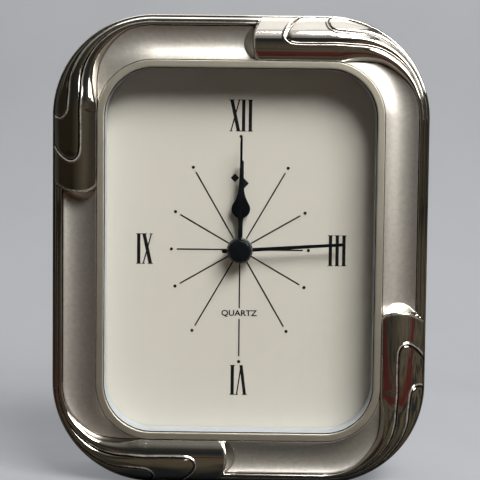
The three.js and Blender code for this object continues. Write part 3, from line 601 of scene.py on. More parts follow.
def finger(run, inset, tip, groove, start):
    """Signed distance into a finger from the groove round its tip and along its side."""
    side = [(u, float(groove(u))) for u in np.linspace(start, 34.5, 70)]
    path = tip + side
    # closed past the ornament's end and outside the outline
    polygon = path + [(36.5, side[-1][1]), (36.5, -6.0), (tip[0][0], -6.0)]
    near = (run >= tip[0][0] - 8) & (inset <= 8.5)
    depth = np.full(run.shape, -9.0)            # a plain far value elsewhere
    u, t = run[near], inset[near]
    depth[near] = np.where(inside(u, t, polygon), 1, -1) * distance_to(u, t, path)
    return depth


def cove_height(inset):
    """Hollow between rim and lip, 1.3 deep at its middle."""
    q = (inset - RIM) / (LIP - RIM)
    return RIM_H + (LIP_H - RIM_H) * q - 1.3 * np.power(bulge(q), 0.92)


def wave_height(run, inset, inner, outer):
    """Height across the wave: a crown over its whole width, one rib for each strip, and a
    raised line and a groove along each finger. inner and outer are distances into them."""
    edge = WAVE_EDGE(run)
    wide = clip01((edge - RIM) / (LIP - RIM))
    edge_h = cove_height(np.clip(edge, RIM, LIP)) - 0.25 * wide ** 8
    q = clip01((inset - BEAD) / (edge - BEAD))
    crown = (0.45 + 2.35 * wide ** 1.1) * np.power(np.sin(np.pi * q), 0.74)
    h = WAVE_OUT_H + (edge_h - WAVE_OUT_H) * q + crown
    grown = smoothstep((run - 1) / 17)          # ribs grow as the finger steps fade
    low = BEAD
    for high, rise in ((OUTER_GROOVE(run), 0.36), (INNER_GROOVE(run), 0.38), (edge, 0.34)):
        strip = np.maximum(high - low, 1e-6)
        s = (inset - low) / strip
        rib = rise * grown * np.minimum(strip, 2.6) * bulge(s)
        h = h + np.where((s >= 0) & (s <= 1), rib, 0)
        low = high
    size = line_size(run)
    for depth, weight in ((inner, 1.0), (outer, 0.85)):
        raised = 0.24 * line(depth + 0.38 * size, width=0.19 * size) * (1 - 0.7 * grown)
        cut = 0.36 * line(depth, width=0.09 * size + 0.05)
        step = (0.16 * (1 - grown) * smoothstep((depth + 0.15 * size) / (0.3 * size))
                * np.exp(-np.clip(depth, 0, None) / 2.5))
        h = h + weight * size ** 0.8 * (raised - cut) - weight * step * (inset < edge)
    return h


def plain_height(inset):
    """Height where there is no ornament: rim, cove and lip, with a fine groove at each join."""
    end = np.full_like(inset, RUN_END)
    rim = wave_height(end, inset, INNER_GROOVE(RUN_END) - inset, OUTER_GROOVE(RUN_END) - inset)
    cove = cove_height(np.clip(inset, RIM, LIP))
    h = np.where(inset <= RIM, rim, np.where(inset >= LIP, LIP_H, cove))
    return h - 0.30 * line(inset - 2.42, width=0.09) - 0.22 * line(inset - LIP + 0.08, width=0.09)


def frame_surface(run, inset):
    """Height toward the viewer, satin mask, and a painted light value: painted highlight
    above 0, painted shade below 0.
    """
    edge, top, foot = WAVE_EDGE(run), TIP_TOP(inset), TIP_FOOT(inset)
    inner = finger(run, inset, INNER_TIP, INNER_GROOVE, start=-3.0)
    outer = finger(run, inset, OUTER_TIP, OUTER_GROOVE, start=3.8)

    plain = plain_height(inset)
    wave = wave_height(run, inset, inner, outer)
    x = clip01((run - foot) / np.maximum(top - foot, 0.05))
    climb = x * (1.18 - 0.18 * x)               # up the slope of the wave's tip
    h = np.where((inset <= edge) & (run > foot), plain + (wave - plain) * climb, plain)
    # a crisp line where the wave's inner side meets the cove or the lip
    h = h - 0.16 * line(inset - edge - 0.02, width=0.08) * clip01(run - top)
    # the outermost bead, the same all the way round, with a fine groove inside it
    bead = 8.9 + 0.6 * np.sqrt(clip01(1 - ((inset - BEAD) / BEAD) ** 2))
    h = np.where(inset < BEAD, bead, h) - 0.22 * line(inset - BEAD - 0.05, width=0.06)

    satin = fade(inset - 2.48, width=0.16) * fade(LIP - 0.12 - inset, width=0.16)
    satin = satin * (1 - fade(edge - inset, width=0.3) * fade(run - foot, width=0.2))

    # painted highlight: bright lines on each finger's raised line and round the wave's tip,
    # where these ridges catch the light
    size = line_size(run)
    worn = 0.8 * line(run - top - 0.2, width=0.16) * clip01((inset - BEAD) / 0.5)
    for depth in (inner, outer):
        worn = np.maximum(worn, line(depth + 0.36 * size, width=0.17 * size + 0.03))
    worn = worn * fade(edge - 0.1 - inset, width=0.2) * clip01((inset - BEAD) / 0.2)

    # painted shade: dark lines in the grooves inside the bead, where rim meets cove, along the
    # fingers, round the wave's inner edge, in the shadow at the foot of its tip and outside the
    # lip
    groove_shade = [
        line(inset - BEAD - 0.07, width=0.09),
        0.9 * line(inset - 2.40, width=0.15) * (run <= foot),
        0.85 * line(inset - edge - 0.04, width=0.10) * clip01(run - top),
        0.8 * line(run - foot + 0.06, width=0.10) * fade(edge - 0.2 - inset, width=0.3)
        * clip01((inset - BEAD) / 0.5),
        0.5 * line(inset - LIP + 0.08, width=0.08)]
    for depth in (inner, outer):
        groove_shade.append(0.9 * line(depth - 0.02, width=0.10 * size + 0.045)
                        * (inset < edge - 0.05))
    return h, satin, worn - np.maximum.reduce(groove_shade)


# ------------------------------------------------------------------ front frame: its mesh
BEAD_LINES = [0, 0.03, 0.09, 0.17, 0.26, 0.35]  # insets of the surface lines over the bead
# sections of the hidden sides as (inset, y): outer wall from the back, then the lip's inner
# edge, the seat behind it and the back of the casting
OUTER_WALL = [(1.6, 1.75), (1.3, 2.0), (0.35, 2.0), (0.12, 1.9), (0.0, 1.65), (0.0, 0.2),
              (0.0, -2.6), (0.0, -5.6), (0.0, -8.4)]
INNER_WALL = [(11.14, -11.985), (11.19, -11.93), (11.2, -11.86), (11.2, -11.2),
              (10.15, -11.2), (10.1, -11.0), (10.1, -7.3), (10.0, -7.2), (1.75, -7.2),
              (1.6, -7.0)]
TIP_ZONE, TIP_END = 18.3, 9.8   # lengths before the corner where finer stations start


def spaced(start, stop, count):
    """Even steps without the last, for joining to the next stretch."""
    return np.linspace(start, stop, count)[:-1]


def eased(count):
    """Count steps from 0 toward 1, closer together at both ends, without the last."""
    q = np.linspace(0, 1, count + 1)
    return (0.55 * q + 0.45 * (1 - np.cos(np.pi * q)) / 2)[:-1]


def surface_lines(run, plain):
    """Insets of the surface lines as (stations, lines), following the ribs on an ornament."""
    ones = np.ones((len(run), 1))
    blocks = [ones * np.array(BEAD_LINES)]
    if plain:
        blocks += [ones * spaced(BEAD, 2.6, 46), ones * spaced(2.6, 9.3, 26)]
    else:
        edge = np.minimum(WAVE_EDGE(run), 9.42)[:, None]
        marks = [BEAD, OUTER_GROOVE(run)[:, None], INNER_GROOVE(run)[:, None], edge, 9.48]
        for low, high, count in zip(marks, marks[1:], (38, 34, 36, 18)):
            blocks.append(low + (high - low) * eased(count))
    blocks += [ones * spaced(9.48, 9.95, 9), ones * np.linspace(9.95, 11.05, 4)]
    return np.concatenate(blocks, 1)


def frame_patch(points, inward, run, plain):
    """One length of the casting: its points, quads and rows of satin, lip and painted light
    values.
    """
    points, inward, run = np.array(points), np.array(inward), np.array(run)
    insets = surface_lines(run, plain)
    h, satin, worn = frame_surface(np.repeat(run[:, None], insets.shape[1], 1), insets)
    on_lip = (insets > LIP - 0.02) * 1.0
    # columns of (inset, y, satin, lip, painted light), each with one value per station
    columns = [(inset, y, 0, 0, 0) for inset, y in OUTER_WALL]
    columns += zip(insets.T, -h.T, satin.T, on_lip.T, worn.T)
    columns += [(inset, y, 0, 1 if y < -11.1 else 0, 0) for inset, y in INNER_WALL]
    grid = np.array([[np.broadcast_to(np.asarray(value, float), run.shape) for value in column]
                     for column in columns])
    inset, depth, satin, lip, worn = grid.transpose(1, 2, 0)
    x = points[:, 0:1] + inward[:, 0:1] * inset
    z = points[:, 1:2] + inward[:, 1:2] * inset
    count = len(columns)
    a, b = np.meshgrid(np.arange(len(run) - 1), np.arange(count), indexing="ij")
    after = (b + 1) % count
    faces = np.stack([a * count + b, (a + 1) * count + b, (a + 1) * count + after,
                      a * count + after], -1)
    values = np.stack([satin.ravel(), lip.ravel(), worn.ravel()])
    return np.stack([x, depth, z], -1).reshape(-1, 3), faces.reshape(-1, 4), values


def side_patches(start, direction, length, centre, start_angle):
    """The plain start of a straight side, then its ornament on into the corner after it."""
    inward = (direction[1], -direction[0])

    def along(q):
        return (start[0] + direction[0] * q, start[1] + direction[1] * q)

    split = length - TIP_ZONE
    stations = np.linspace(0, split, 5)
    plain = frame_patch([along(q) for q in stations], [inward] * len(stations),
                        stations - length, plain=True)

    stations = np.concatenate([spaced(split, length - TIP_END, 52),
                               spaced(length - TIP_END, length, 66)])
    points = [along(q) for q in stations]
    inwards = [inward] * len(stations)
    run = list(stations - length)
    arc = CORNER_R * math.pi / 2
    for q in np.concatenate([spaced(0, 3.4, 24), np.linspace(3.4, arc, 88)]):
        angle = math.radians(start_angle) - q / CORNER_R
        cos, sin = math.cos(angle), math.sin(angle)
        points.append((centre[0] + CORNER_R * cos, centre[1] + CORNER_R * sin))
        inwards.append((-cos, -sin))
        run.append(min(q, RUN_END))
    return [plain, frame_patch(points, inwards, run, plain=False)]


def build_frame():
    right, top = HALF_X, AXIS_Z + HALF_Z
    left, bottom = -HALF_X, AXIS_Z - HALF_Z
    # start, direction, length, centre of the corner after it, angle where that corner starts
    sides = [((left, HEIGHT), (1, 0), 2 * HALF_X, (right, top), 90),
             ((WIDTH / 2, top), (0, -1), 2 * HALF_Z, (right, bottom), 0),
             ((right, 0), (-1, 0), 2 * HALF_X, (left, bottom), -90),
             ((-WIDTH / 2, bottom), (0, 1), 2 * HALF_Z, (left, top), 180)]
    points, faces, values = [], [], []
    base = 0
    for side in sides:
        for patch_points, patch_faces, patch_values in side_patches(*side):
            points.append(patch_points)
            faces.append(patch_faces + base)
            values.append(patch_values)
            base += len(patch_points)
    mesh = case_mesh("frame_casting", np.concatenate(points).tolist(),
                     np.concatenate(faces).tolist(), outward=False)
    # the third attribute holds the painted highlight and painted shade lines
    for name, row in zip(("satin", "lip", "worn"), np.concatenate(values, 1)):
        attribute = mesh.attributes.new(name, "FLOAT", "POINT")
        attribute.data.foreach_set("value", row.astype(np.float32))
    mesh.update()
    mesh.flip_normals()         # the patches' quads are wound facing inward
    obj = place(mesh, "frame_casting", MAT["silver_plate"], angle=60)
    part(obj, "case", "front_frame")


# ------------------------------------------------------------------ glass, spacer ring, dial
OPENING = 10.25                 # inset of the glass and of the spacer ring's outer side
DIAL_INSET = 10.3
DIAL_HOLE_R = 2.4
DIAL_FRONT, DIAL_BACK = -4.6, -4.0


def build_glass():
    section = ((OPENING, -9.65), (OPENING, -11.0), (10.4, -11.15))
    rings = [at_depth(outline(inset), y) for inset, y in section]
    glass = from_rings("glass", rings, MAT["clear_glass"], angle=20)
    part(glass, "case", "lens")
    # painted shadow: a thin black band on the glass's edge stands in for the shade in the gap
    # where the glass meets the frame's lip
    section = [(10.5, -11.152), (10.5, -11.175), (11.34, -11.175), (11.36, -11.152)]
    part(outline_band("glass_edge_shadow", section, MAT["hand_black"]), "case")


def build_spacer():
    section = [(OPENING, -9.55), (OPENING, -4.65), (10.8, -4.65), (10.86, -4.85),
               (11.15, -4.95), (11.15, -9.4), (11.05, -9.55)]
    part(outline_band("spacer", section, MAT["white_ring"]), "case",
         "spacer_ring")


def build_dial():
    edge = outline(DIAL_INSET)
    hole = []
    for x, z in edge:
        angle = math.atan2(z - AXIS_Z, x)
        hole.append((DIAL_HOLE_R * math.cos(angle), AXIS_Z + DIAL_HOLE_R * math.sin(angle)))
    rings = [at_depth(hole, DIAL_FRONT), at_depth(edge, DIAL_FRONT),
             at_depth(edge, DIAL_BACK), at_depth(hole, DIAL_BACK)]
    dial = from_rings("dial_plate", rings, MAT["cream_dial"], angle=20, hollow=True)
    part(dial, "case", "dial")


# ------------------------------------------------------------------ dial print
# Flat outlines in millimetres from the hands' axis.
INK = 0.03                      # thickness of the printed film
PRINT_FRONT = DIAL_FRONT - INK
BAR, THICK, THIN = 0.7185, 0.7621, 0.283        # widths of an I and of an X's two strokes
V_THICK = 0.7403
BAR_SERIF, SERIF = 0.1633, 0.1742               # serif heights of an I and of an X or V
SERIF_W = 0.6532                # width of the serif on a thin stroke
IN, OUT, FAR_OUT = 0.0871, 0.1742, 0.196        # setbacks of strokes, overhangs of serifs
BAR_PITCH = 1.4588              # between neighbouring I strokes
DOT_R = 0.3527
DOTS_X, DOTS_Z = 14.8492, 24.4729               # half axes of the ellipse the dots lie on
RAY_HALF_W, RAY_START, RAY_GAP = 0.1524, 2.7652, 1.1757     # the gap is from ray end to dot
WORD_GAP = (12.759, 15.1105)    # break in the ray to the six, for the word
WORD_W, WORD_H, WORD_Z = 7.7512, 1.5459, -13.9347
# (x, z, half width, half height) of the two lozenges above the axis
LOZENGES = [(-1.2193, 15.5677, 0.9145, 0.958), (0.7838, 14.3702, 1.0016, 1.0887)]


def box(x0, x1, z0, z1):
    return [(x0, z0), (x1, z0), (x1, z1), (x0, z1)]


def slant(foot_x, foot_z, head_x, head_z, width):
    """Slanted bar, its width measured along x."""
    half = width / 2
    return [(foot_x - half, foot_z), (foot_x + half, foot_z),
            (head_x + half, head_z), (head_x - half, head_z)]


def numeral_I(x, z0, z1, overhang=0.2068):
    half, wide = BAR / 2, BAR / 2 + overhang
    tuck = BAR_SERIF * 0.6
    return [box(x - half, x + half, z0 + tuck, z1 - tuck),
            box(x - wide, x + wide, z0, z0 + BAR_SERIF),
            box(x - wide, x + wide, z1 - BAR_SERIF, z1)]


def numeral_X(x0, x1, z0, z1):
    half, thin_in = THICK / 2, 0.3048
    left, right = x0 + half + IN, x1 - half - IN
    return [slant(right, z0 + IN, left, z1 - IN, THICK),
            slant(x0 + thin_in, z0 + IN, x1 - thin_in, z1 - IN, THIN),
            box(left - half - OUT, left + half + FAR_OUT, z1 - SERIF, z1),
            box(right - half - FAR_OUT, right + half + OUT, z0, z0 + SERIF),
            box(x0, x0 + SERIF_W, z0, z0 + SERIF),
            box(x1 - SERIF_W, x1, z1 - SERIF, z1)]


def numeral_V_turned(x0, x1, z0, z1):
    """A V turned half round: apex at the top, thin leg on the left, thick leg on the right."""
    apex = (x0 + x1) / 2 - 0.1306
    return [slant(x0 + 0.3266, z0 + IN, apex + 0.0871, z1, THIN),
            slant(x1 - V_THICK / 2 - FAR_OUT, z0 + IN, apex + 0.0653, z1, V_THICK * 0.92),
            box(x0, x0 + SERIF_W, z0, z0 + SERIF),
            box(x1 - V_THICK - 2 * FAR_OUT, x1, z0, z0 + SERIF)]


def numerals():
    twelve, six = (25.5615, 32.3982), (-31.7886, -25.2349)      # feet and heads of each
    three, nine = (-3.353, 3.353), (-3.3095, 3.3095)
    polygons = numeral_X(-2.5039, -0.1089, *twelve) + numeral_I(0.5008, *twelve)
    polygons += numeral_I(0.5008 + BAR_PITCH, *twelve, overhang=0.196)
    for k in range(3):
        polygons += numeral_I(19.6175 + k * BAR_PITCH, *three)
    polygons += numeral_I(-21.9472, *nine) + numeral_X(-21.2504, -18.9207, *nine)
    polygons += numeral_I(-1.3499, *six) + numeral_V_turned(-0.7185, 1.916, *six)
    return polygons


def dots_and_rays():
    """A dot at each hour on the ellipse, with a ray from near the axis to just short of it."""
    polygons = []
    for hour in range(12):
        sin, cos = math.sin(math.radians(30 * hour)), math.cos(math.radians(30 * hour))
        reach = DOTS_X * DOTS_Z / math.hypot(DOTS_Z * sin, DOTS_X * cos)
        turns = [2 * math.pi * i / 20 for i in range(20)]
        polygons.append([(reach * sin + DOT_R * math.cos(a), reach * cos + DOT_R * math.sin(a))
                         for a in turns])
        spans = [(RAY_START, reach - RAY_GAP)]
        if hour == 6:
            spans = [(RAY_START, WORD_GAP[0]), (WORD_GAP[1], reach - RAY_GAP)]
        across_x, across_z = RAY_HALF_W * cos, RAY_HALF_W * sin
        for near, far in spans:
            polygons.append([(near * sin - across_x, near * cos + across_z),
                             (near * sin + across_x, near * cos - across_z),
                             (far * sin + across_x, far * cos - across_z),
                             (far * sin - across_x, far * cos + across_z)])
    return polygons


def build_film():
    """The printed shapes as thin prisms, at slightly different fronts where they overlap."""
    polygons = numerals() + dots_and_rays()
    polygons += [[(x, z - b), (x + a, z), (x, z + b), (x - a, z)] for x, z, a, b in LOZENGES]
    points, faces = [], []
    for k, polygon in enumerate(polygons):
        following = polygon[1:] + polygon[:1]
        if sum(p[0] * q[1] - q[0] * p[1] for p, q in zip(polygon, following)) < 0:
            polygon = polygon[::-1]
        n, base = len(polygon), len(points)
        for y in (PRINT_FRONT - 0.0004 * (k % 5), PRINT_FRONT + INK):
            points += [(x, y, AXIS_Z + z) for x, z in polygon]
        faces.append(tuple(base + i for i in range(n)))
        faces.append(tuple(base + n + i for i in reversed(range(n))))
        for i in range(n):
            j = (i + 1) % n
            faces.append((base + j, base + i, base + n + i, base + n + j))
    mesh = case_mesh("dial_print", points, faces, outward=False)
    part(place(mesh, "dial_print", MAT["ink"], angle=None), "case")


def build_word():
    """The word below the axis, set as text and fitted to its width and height."""
    text = bpy.data.curves.new("word", "FONT")
    text.body = "QUARTZ"
    text.size = 1.0
    text.align_x = "CENTER"
    text.extrude = 0.008
    text.offset = 0.022
    text.resolution_u = 3
    temporary = bpy.data.objects.new("word_tmp", text)
    scene.collection.objects.link(temporary)
    depsgraph = bpy.context.evaluated_depsgraph_get()
    mesh = bpy.data.meshes.new_from_object(temporary.evaluated_get(depsgraph))
    bpy.data.objects.remove(temporary)
    corners = np.array([vertex.co[:] for vertex in mesh.vertices])
    low, high = corners.min(0), corners.max(0)
    middle = (low + high) / 2
    scale_x, scale_z = WORD_W / (high[0] - low[0]), WORD_H / (high[1] - low[1])
    for vertex in mesh.vertices:
        x, y, z = vertex.co
        depth = PRINT_FRONT + 0.012 - z / 0.008 * 0.014     # extrusion to 0.014 each way
        vertex.co = ((x - middle[0]) * scale_x * MM, (depth + CASE_Y) * MM,
                     (AXIS_Z + WORD_Z + (y - middle[1]) * scale_z) * MM)
    clean(mesh, merge=True, outward=True)
    part(place(mesh, "dial_word", MAT["ink"], angle=None), "case")


# ------------------------------------------------------------------ hands
# Blades point up before they are turned; outlines are (x, z) from the axis. Bosses and the cap
# are (radius, y) profiles.
PEAR_R, PEAR_Z = 2.02, 8.9      # round part of the hour hand's pear
HOUR_SIDE = (
    [(0.5, 1.6), (0.5, 6.3), (0.62, 6.86)]
    + [(PEAR_R * math.cos(math.radians(a)), PEAR_Z + PEAR_R * math.sin(math.radians(a)))
       for a in range(-70, 31, 8)]
    + [(1.5, 10.35), (1.18, 11.0), (0.92, 11.65), (0.74, 12.3), (0.62, 13.0), (0.52, 14.2),
       (0.46, 16.5), (0.4, 19.2), (0.2, 19.35)])
HOUR_BOSS = [(0, -6.47), (2.35, -6.47), (2.46, -6.42), (2.5, -6.32), (2.5, -5.87), (0, -5.87)]
MINUTE_OUTLINE = [
    (0.4, -3.5), (0.42, 0.0), (0.33, 22.3), (0.2, 22.5), (-0.2, 22.5), (-0.33, 22.3),
    (-0.42, 0.0), (-0.4, -3.5), (-0.3, -3.78), (0.0, -3.92), (0.3, -3.78)]
MINUTE_BOSS = [(0, -7.5), (2.66, -7.5), (2.76, -7.46), (2.8, -7.38), (2.8, -6.8),
               (2.75, -6.75), (0, -6.75)]
SECOND_SIDE = [(0.32, -0.2), (0.24, 24.15), (0.12, 24.3)]
SECOND_CAP = [
    (0, -8.75), (0.9, -8.72), (1.6, -8.66), (2.05, -8.56), (2.3, -8.42), (2.42, -8.22),
    (2.45, -8.0), (2.4, -7.84), (2.28, -7.76), (0, -7.76)]


def mirrored(side):
    return side + [(-x, z) for x, z in reversed(side)]


def pointed(points, degrees):
    """Turns a blade clockwise, as seen from the front, and moves it to the axis."""
    cos, sin = math.cos(math.radians(-degrees)), math.sin(math.radians(-degrees))
    return [(x * cos - z * sin, AXIS_Z + x * sin + z * cos) for x, z in points]


def bore(obj, radius, front=-9.4, back=-4.9):
    profile = [(0, front), (radius, front), (radius, back), (0, back)]
    tool = turned("bore", profile, MAT["case_black"], segments=40)
    return boolean(obj, tool, "DIFFERENCE")


def finish_hand(obj, name):
    obj.name = name
    clean(obj.data, merge=True, dissolve=True)
    shade(obj.data)


def build_hour_hand():
    blade = slab("hour_blade", pointed(mirrored(HOUR_SIDE), 0.8), front=-6.32, back=-6.0,
                 front_edge=0.09, back_edge=0.03)
    boss = turned("hour_boss", HOUR_BOSS, MAT["hand_black"], segments=56)
    hand = bore(boolean(blade, boss, "UNION"), 1.52)
    finish_hand(hand, "hour_hand_fine")
    part(hand, "hour_train", "hour_hand")


def build_minute_hand():
    blade = slab("minute_blade", pointed(MINUTE_OUTLINE, 86.2), front=-7.22, back=-6.95,
                 front_edge=0.07, back_edge=0.03)
    finish_hand(bore(blade, 2.5), "minute_hand_fine")
    boss = turned("minute_boss", MINUTE_BOSS, MAT["ring_grey"], segments=72)
    finish_hand(bore(boss, 0.96), "minute_boss_fine")
    part(blade, "minute_train", "minute_hand")
    part(boss, "minute_train")


def build_second_hand():
    blade = slab("second_blade", pointed(mirrored(SECOND_SIDE), 0.4), front=-8.15, back=-7.92,
                 front_edge=0.05, back_edge=0.03)
    cap = turned("second_cap", SECOND_CAP, MAT["hand_black"], segments=72)
    # the bore stops inside the cap, so its front stays whole
    hand = bore(boolean(blade, cap, "UNION"), 0.44, front=-8.3)
    finish_hand(hand, "second_hand_fine")
    part(hand, "seconds_train", "second_hand")


# ------------------------------------------------------------------ CAD pieces
# bevel widths in millimetres of the pieces whose edges are eased
EASED_EDGES = {"rear_cover": 0.3, "battery_door": 0.16, "stand_leg": 0.2,
               "time_set_knob": 0.12, "alarm_set_knob": 0.12, "alarm_switch": 0.1}


def ease_edges(obj, width):
    bevel = obj.modifiers.new("bevel", "BEVEL")
    bevel.width = width * MM
    bevel.segments = 3
    bevel.limit_method = "ANGLE"
    bevel.angle_limit = math.radians(38)
    bevel.harden_normals = False
    bevel.miter_outer = "MITER_ARC"
    weighted = obj.modifiers.new("weighted", "WEIGHTED_NORMAL")
    weighted.keep_sharp = True
    weighted.weight = 60


def dress_cad_pieces():
    slots = {piece["node"]: piece["material_slot"] for piece in frame["record"]["subparts"]}
    for name, obj in nodes.items():
        obj.data.materials.clear()
        obj.data.materials.append(MAT[slots[name]])
        shade(obj.data, 32)
        if name in EASED_EDGES:
            ease_edges(obj, EASED_EDGES[name])


# ------------------------------------------------------------------ stage, in metres
SWEEP_HALF_W = 1.4
SWEEP_WALL_Y = 0.20
SWEEP_R = 0.10                  # radius of the bend from floor to wall
SWEEP_STEPS = 12


def room_seen_by_light(s, mottle):
    """What reflections and bounced light find: a dark floor with a deep red strip, and a wall
    that grows pale upward, dark at the right, with a glow of its own for diffuse rays."""
    x, y, z = s.axes(s.coordinate("Object"))
    ragged_y = s.add(y, s.multiply(mottle, 0.08))
    strip = s.multiply(s.remap(ragged_y, (-0.10, -0.06)),
                       s.remap(ragged_y, (-0.02, 0.0), to=(1, 0)))
    floor = s.mix(s.remap(x, (-0.12, 0.10)), (0.050, 0.042, 0.030), (0.096, 0.083, 0.056))
    blotches = s.noise(27, detail=3, stretch=(0.6, 2.2, 1))
    floor = s.mix(s.remap(blotches, (0.47, 0.56), to=(0.0, 0.9)), floor, (0.010, 0.014, 0.018))
    floor = s.mix(s.multiply(strip, 0.9), floor, (0.066, 0.013, 0.012))
    wall = s.mix(s.remap(z, (0.28, 0.50)), (0.09, 0.087, 0.078), (0.60, 0.59, 0.56))
    wall = s.mix(s.remap(x, (0.10, 0.26)), wall, (0.032, 0.030, 0.026))
    above_floor = s.remap(z, (0.004, 0.05))
    matt = s.node("BsdfDiffuse", {"Color": s.mix(above_floor, floor, wall)}).outputs[0]
    light_path = s.node("LightPath").outputs
    glow = s.multiply(s.multiply(above_floor, light_path["Is Diffuse Ray"]), 0.7)
    fill = s.node("Emission", {"Color": (0.95, 0.97, 1.0), "Strength": glow}).outputs[0]
    return s.add_shader(matt, fill), z, light_path["Is Camera Ray"]


def pale_sweep():
    """Pale and mottled to the camera, a dark room to other rays, clear from its back side."""
    s = Material("pale_sweep")
    mottle = s.noise(12, detail=5, rough=0.6)
    s.surface(color=s.ramp(mottle, (0.235, 0.240, 0.250), (0.260, 0.265, 0.275)),
              roughness=0.85, specular=0.15)
    s.bump(s.noise(500, rough=0.6), strength=0.05, distance=2e-5)
    room, z, camera_ray = room_seen_by_light(s, mottle)
    backfacing = s.node("NewGeometry").outputs["Backfacing"]
    clear = s.node("BsdfTransparent").outputs[0]
    # painted light: to the camera the backdrop glows, more up the wall, lightening the clock's
    # shadow on it and evening out the backdrop
    glow = s.node("Emission", {
        "Color": s.ramp(mottle, (0.188, 0.196, 0.208), (0.206, 0.214, 0.226)),
        "Strength": s.remap(z, (0.05, 0.45), to=(0.95, 1.55))}).outputs[0]
    backdrop = s.add_shader(s.principled.outputs[0], glow)
    s.output(s.mix_shader(camera_ray, s.mix_shader(backfacing, room, clear),
                          s.mix_shader(backfacing, backdrop, clear)))
    return s.material


def build_sweep():
    """Floor that bends up into a wall behind the clock, facing up and toward the front."""
    profile = [(-1.4, 0.0), (-0.4, 0.0), (0.03, 0.0)]           # (y, z)
    for i in range(1, SWEEP_STEPS + 1):
        angle = math.pi / 2 * i / SWEEP_STEPS
        profile.append((SWEEP_WALL_Y - SWEEP_R + SWEEP_R * math.sin(angle),
                        SWEEP_R - SWEEP_R * math.cos(angle)))
    profile += [(SWEEP_WALL_Y, 0.3), (SWEEP_WALL_Y, 1.2)]
    columns = (-SWEEP_HALF_W, -0.5, 0.5, SWEEP_HALF_W)
    n = len(columns)
    points = [(x, y, z) for y, z in profile for x in columns]
    faces = [(k * n + i, k * n + i + 1, (k + 1) * n + i + 1, (k + 1) * n + i)
             for k in range(len(profile) - 1) for i in range(n - 1)]
    material = pale_sweep()
    mesh = bpy.data.meshes.new("sweep")
    mesh.from_pydata(points, [], faces)
    place(mesh, "sweep", material)


def build_world():
    """What the metal mirrors: an olive-dark room, darker to the left, red-brown below, pale
    overhead and to the right. Spans are components of the direction looked in."""
    world = bpy.data.worlds.new("studio")
    scene.world = world
    world.use_nodes = True
    s = Shader(world.node_tree)
    direction = s.coordinate("Generated")
    x, y, z = s.axes(direction)
    noise = s.node("TexNoise", {"Vector": direction, "Scale": 2.6, "Detail": 3}).outputs["Fac"]
    wobble = s.multiply(s.subtract(noise, 0.5), 0.3)
    z = s.add(z, wobble)
    x = s.add(x, wobble)
    room = s.mix(s.remap(x, (-0.7, 0.5)), (0.020, 0.016, 0.010), (0.098, 0.084, 0.060))
    room = s.mix(s.remap(x, (0.45, 0.85)), room, (0.045, 0.040, 0.032))
    room = s.mix(s.remap(z, (-0.75, -0.3), to=(1, 0)), room, (0.055, 0.020, 0.014))
    overhead = s.multiply(s.remap(z, (0.60, 0.95)), s.remap(x, (-0.4, 0.15), to=(0.3, 1)))
    room = s.mix(overhead, room, (0.30, 0.30, 0.29))
    # a dark patch straight in front of the dial, a little above level
    level = s.multiply(s.remap(z, (0.02, 0.22)), s.remap(z, (0.60, 0.80), to=(1, 0)))
    ahead = s.multiply(s.remap(y, (-0.92, -0.70), to=(1, 0)), level)
    room = s.mix(s.multiply(ahead, 0.85), room, (0.014, 0.020, 0.025))
    light_path = s.node("LightPath").outputs
    color = s.mix(light_path["Is Diffuse Ray"], room, (0.015, 0.012, 0.009))
    color = s.mix(light_path["Is Camera Ray"], color, (0.46, 0.47, 0.50))
    background = world.node_tree.nodes["Background"]
    s.feed(background.inputs["Color"], color)
    s.feed(background.inputs["Strength"], 1.0)


# ------------------------------------------------------------------ lights, in metres
CLOCK = (0.0, 0.0, 0.05)        # the point most lights aim at
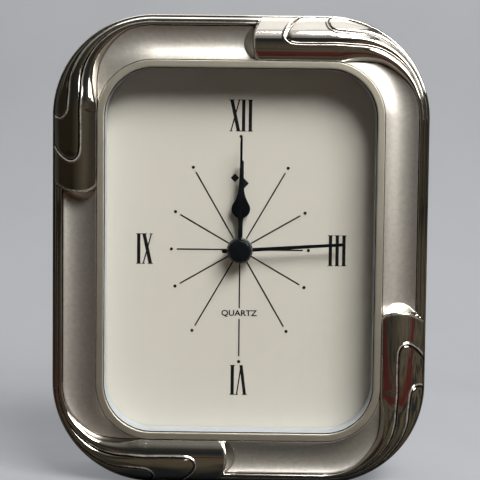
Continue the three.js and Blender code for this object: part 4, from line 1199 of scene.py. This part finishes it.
# panels the metal mirrors: name, radiance, place, aim, width, height
PANELS = [
    ("key_panel", 17.5, (0.18, -0.40, 0.62), CLOCK, 0.27, 0.27),
    ("overhead_a", 1.05, (0.070, 0.02, 0.34), (0.070, 0.02, 0.0), 0.14, 0.22),
    ("overhead_b", 0.95, (0.305, 0.02, 0.34), (0.305, 0.02, 0.0), 0.24, 0.22),
    ("overhead_c", 0.60, (0.070, -0.18, 0.34), (0.070, -0.18, 0.0), 0.14, 0.18),
    ("overhead_d", 0.60, (0.305, -0.18, 0.34), (0.305, -0.18, 0.0), 0.24, 0.18),
    ("overhead_e", 0.22, (0.200, -0.36, 0.34), (0.200, -0.36, 0.0), 0.40, 0.18),
    ("right_panel", 4.5, (0.125, -0.09, 0.165), (0.02, -0.01, 0.085), 0.10, 0.10),
    ("side_panel", 7.0, (0.46, -0.27, 0.33), CLOCK, 0.24, 0.24),
    ("corner_panel", 20.0, (0.36, -0.30, 0.46), CLOCK, 0.20, 0.20),
    ("rear_panel", 2.2, (-0.03, 0.165, 0.28), (0.0, 0.0, 0.06), 0.20, 0.20)]


def aim(obj, location, target):
    """Places a light or camera; returns the rotation that points it at the target."""
    obj.location = location
    obj.rotation_mode = "QUATERNION"
    return (Vector(target) - Vector(location)).to_track_quat("-Z", "Y")


def area_light(name, location, target, width, height, energy, color):
    light = bpy.data.lights.new(name, "AREA")
    light.shape = "RECTANGLE"
    light.size = width
    light.size_y = height
    light.energy = energy
    light.color = color
    obj = bpy.data.objects.new(name, light)
    scene.collection.objects.link(obj)
    obj.rotation_quaternion = aim(obj, location, target)
    return obj


def build_lights():
    # the key lights the dial and the sweep; the metal mirrors the panels instead
    key = area_light("key", (0.40, -0.60, 0.80), CLOCK, width=0.62, height=0.42, energy=14.4,
                     color=(1.0, 0.985, 0.97))
    key.visible_glossy = False
    for name, radiance, location, target, width, height in PANELS:
        panel = area_light(name, location, target, width, height,
                           energy=radiance * math.pi * width * height,
                           color=(1.0, 0.99, 0.97))
        panel.visible_diffuse = False
        panel.visible_camera = False


# ------------------------------------------------------------------ camera
def build_camera():
    data = bpy.data.cameras.new("camera")
    camera = bpy.data.objects.new("camera", data)
    scene.collection.objects.link(camera)
    data.sensor_width = 36.0
    data.lens = 102.4
    data.clip_start, data.clip_end = 0.01, 10.0
    rotation = aim(camera, Vector((2.5, -296.3, 72.2)) * MM, Vector((0.06, -6.94, 52.5)) * MM)
    roll = Matrix.Rotation(math.radians(0.63), 4, "Z").to_quaternion()
    camera.rotation_quaternion = rotation @ roll
    scene.camera = camera
    scene.view_settings.view_transform = "Standard"
    scene.view_settings.look = "None"
    scene.view_settings.exposure = 0.0


build_frame()
build_glass()
build_spacer()
build_dial()
build_film()
build_word()
build_hour_hand()
build_minute_hand()
build_second_hand()
dress_cad_pieces()
build_sweep()
build_world()
build_lights()
build_camera()

bpy.context.view_layer.update()
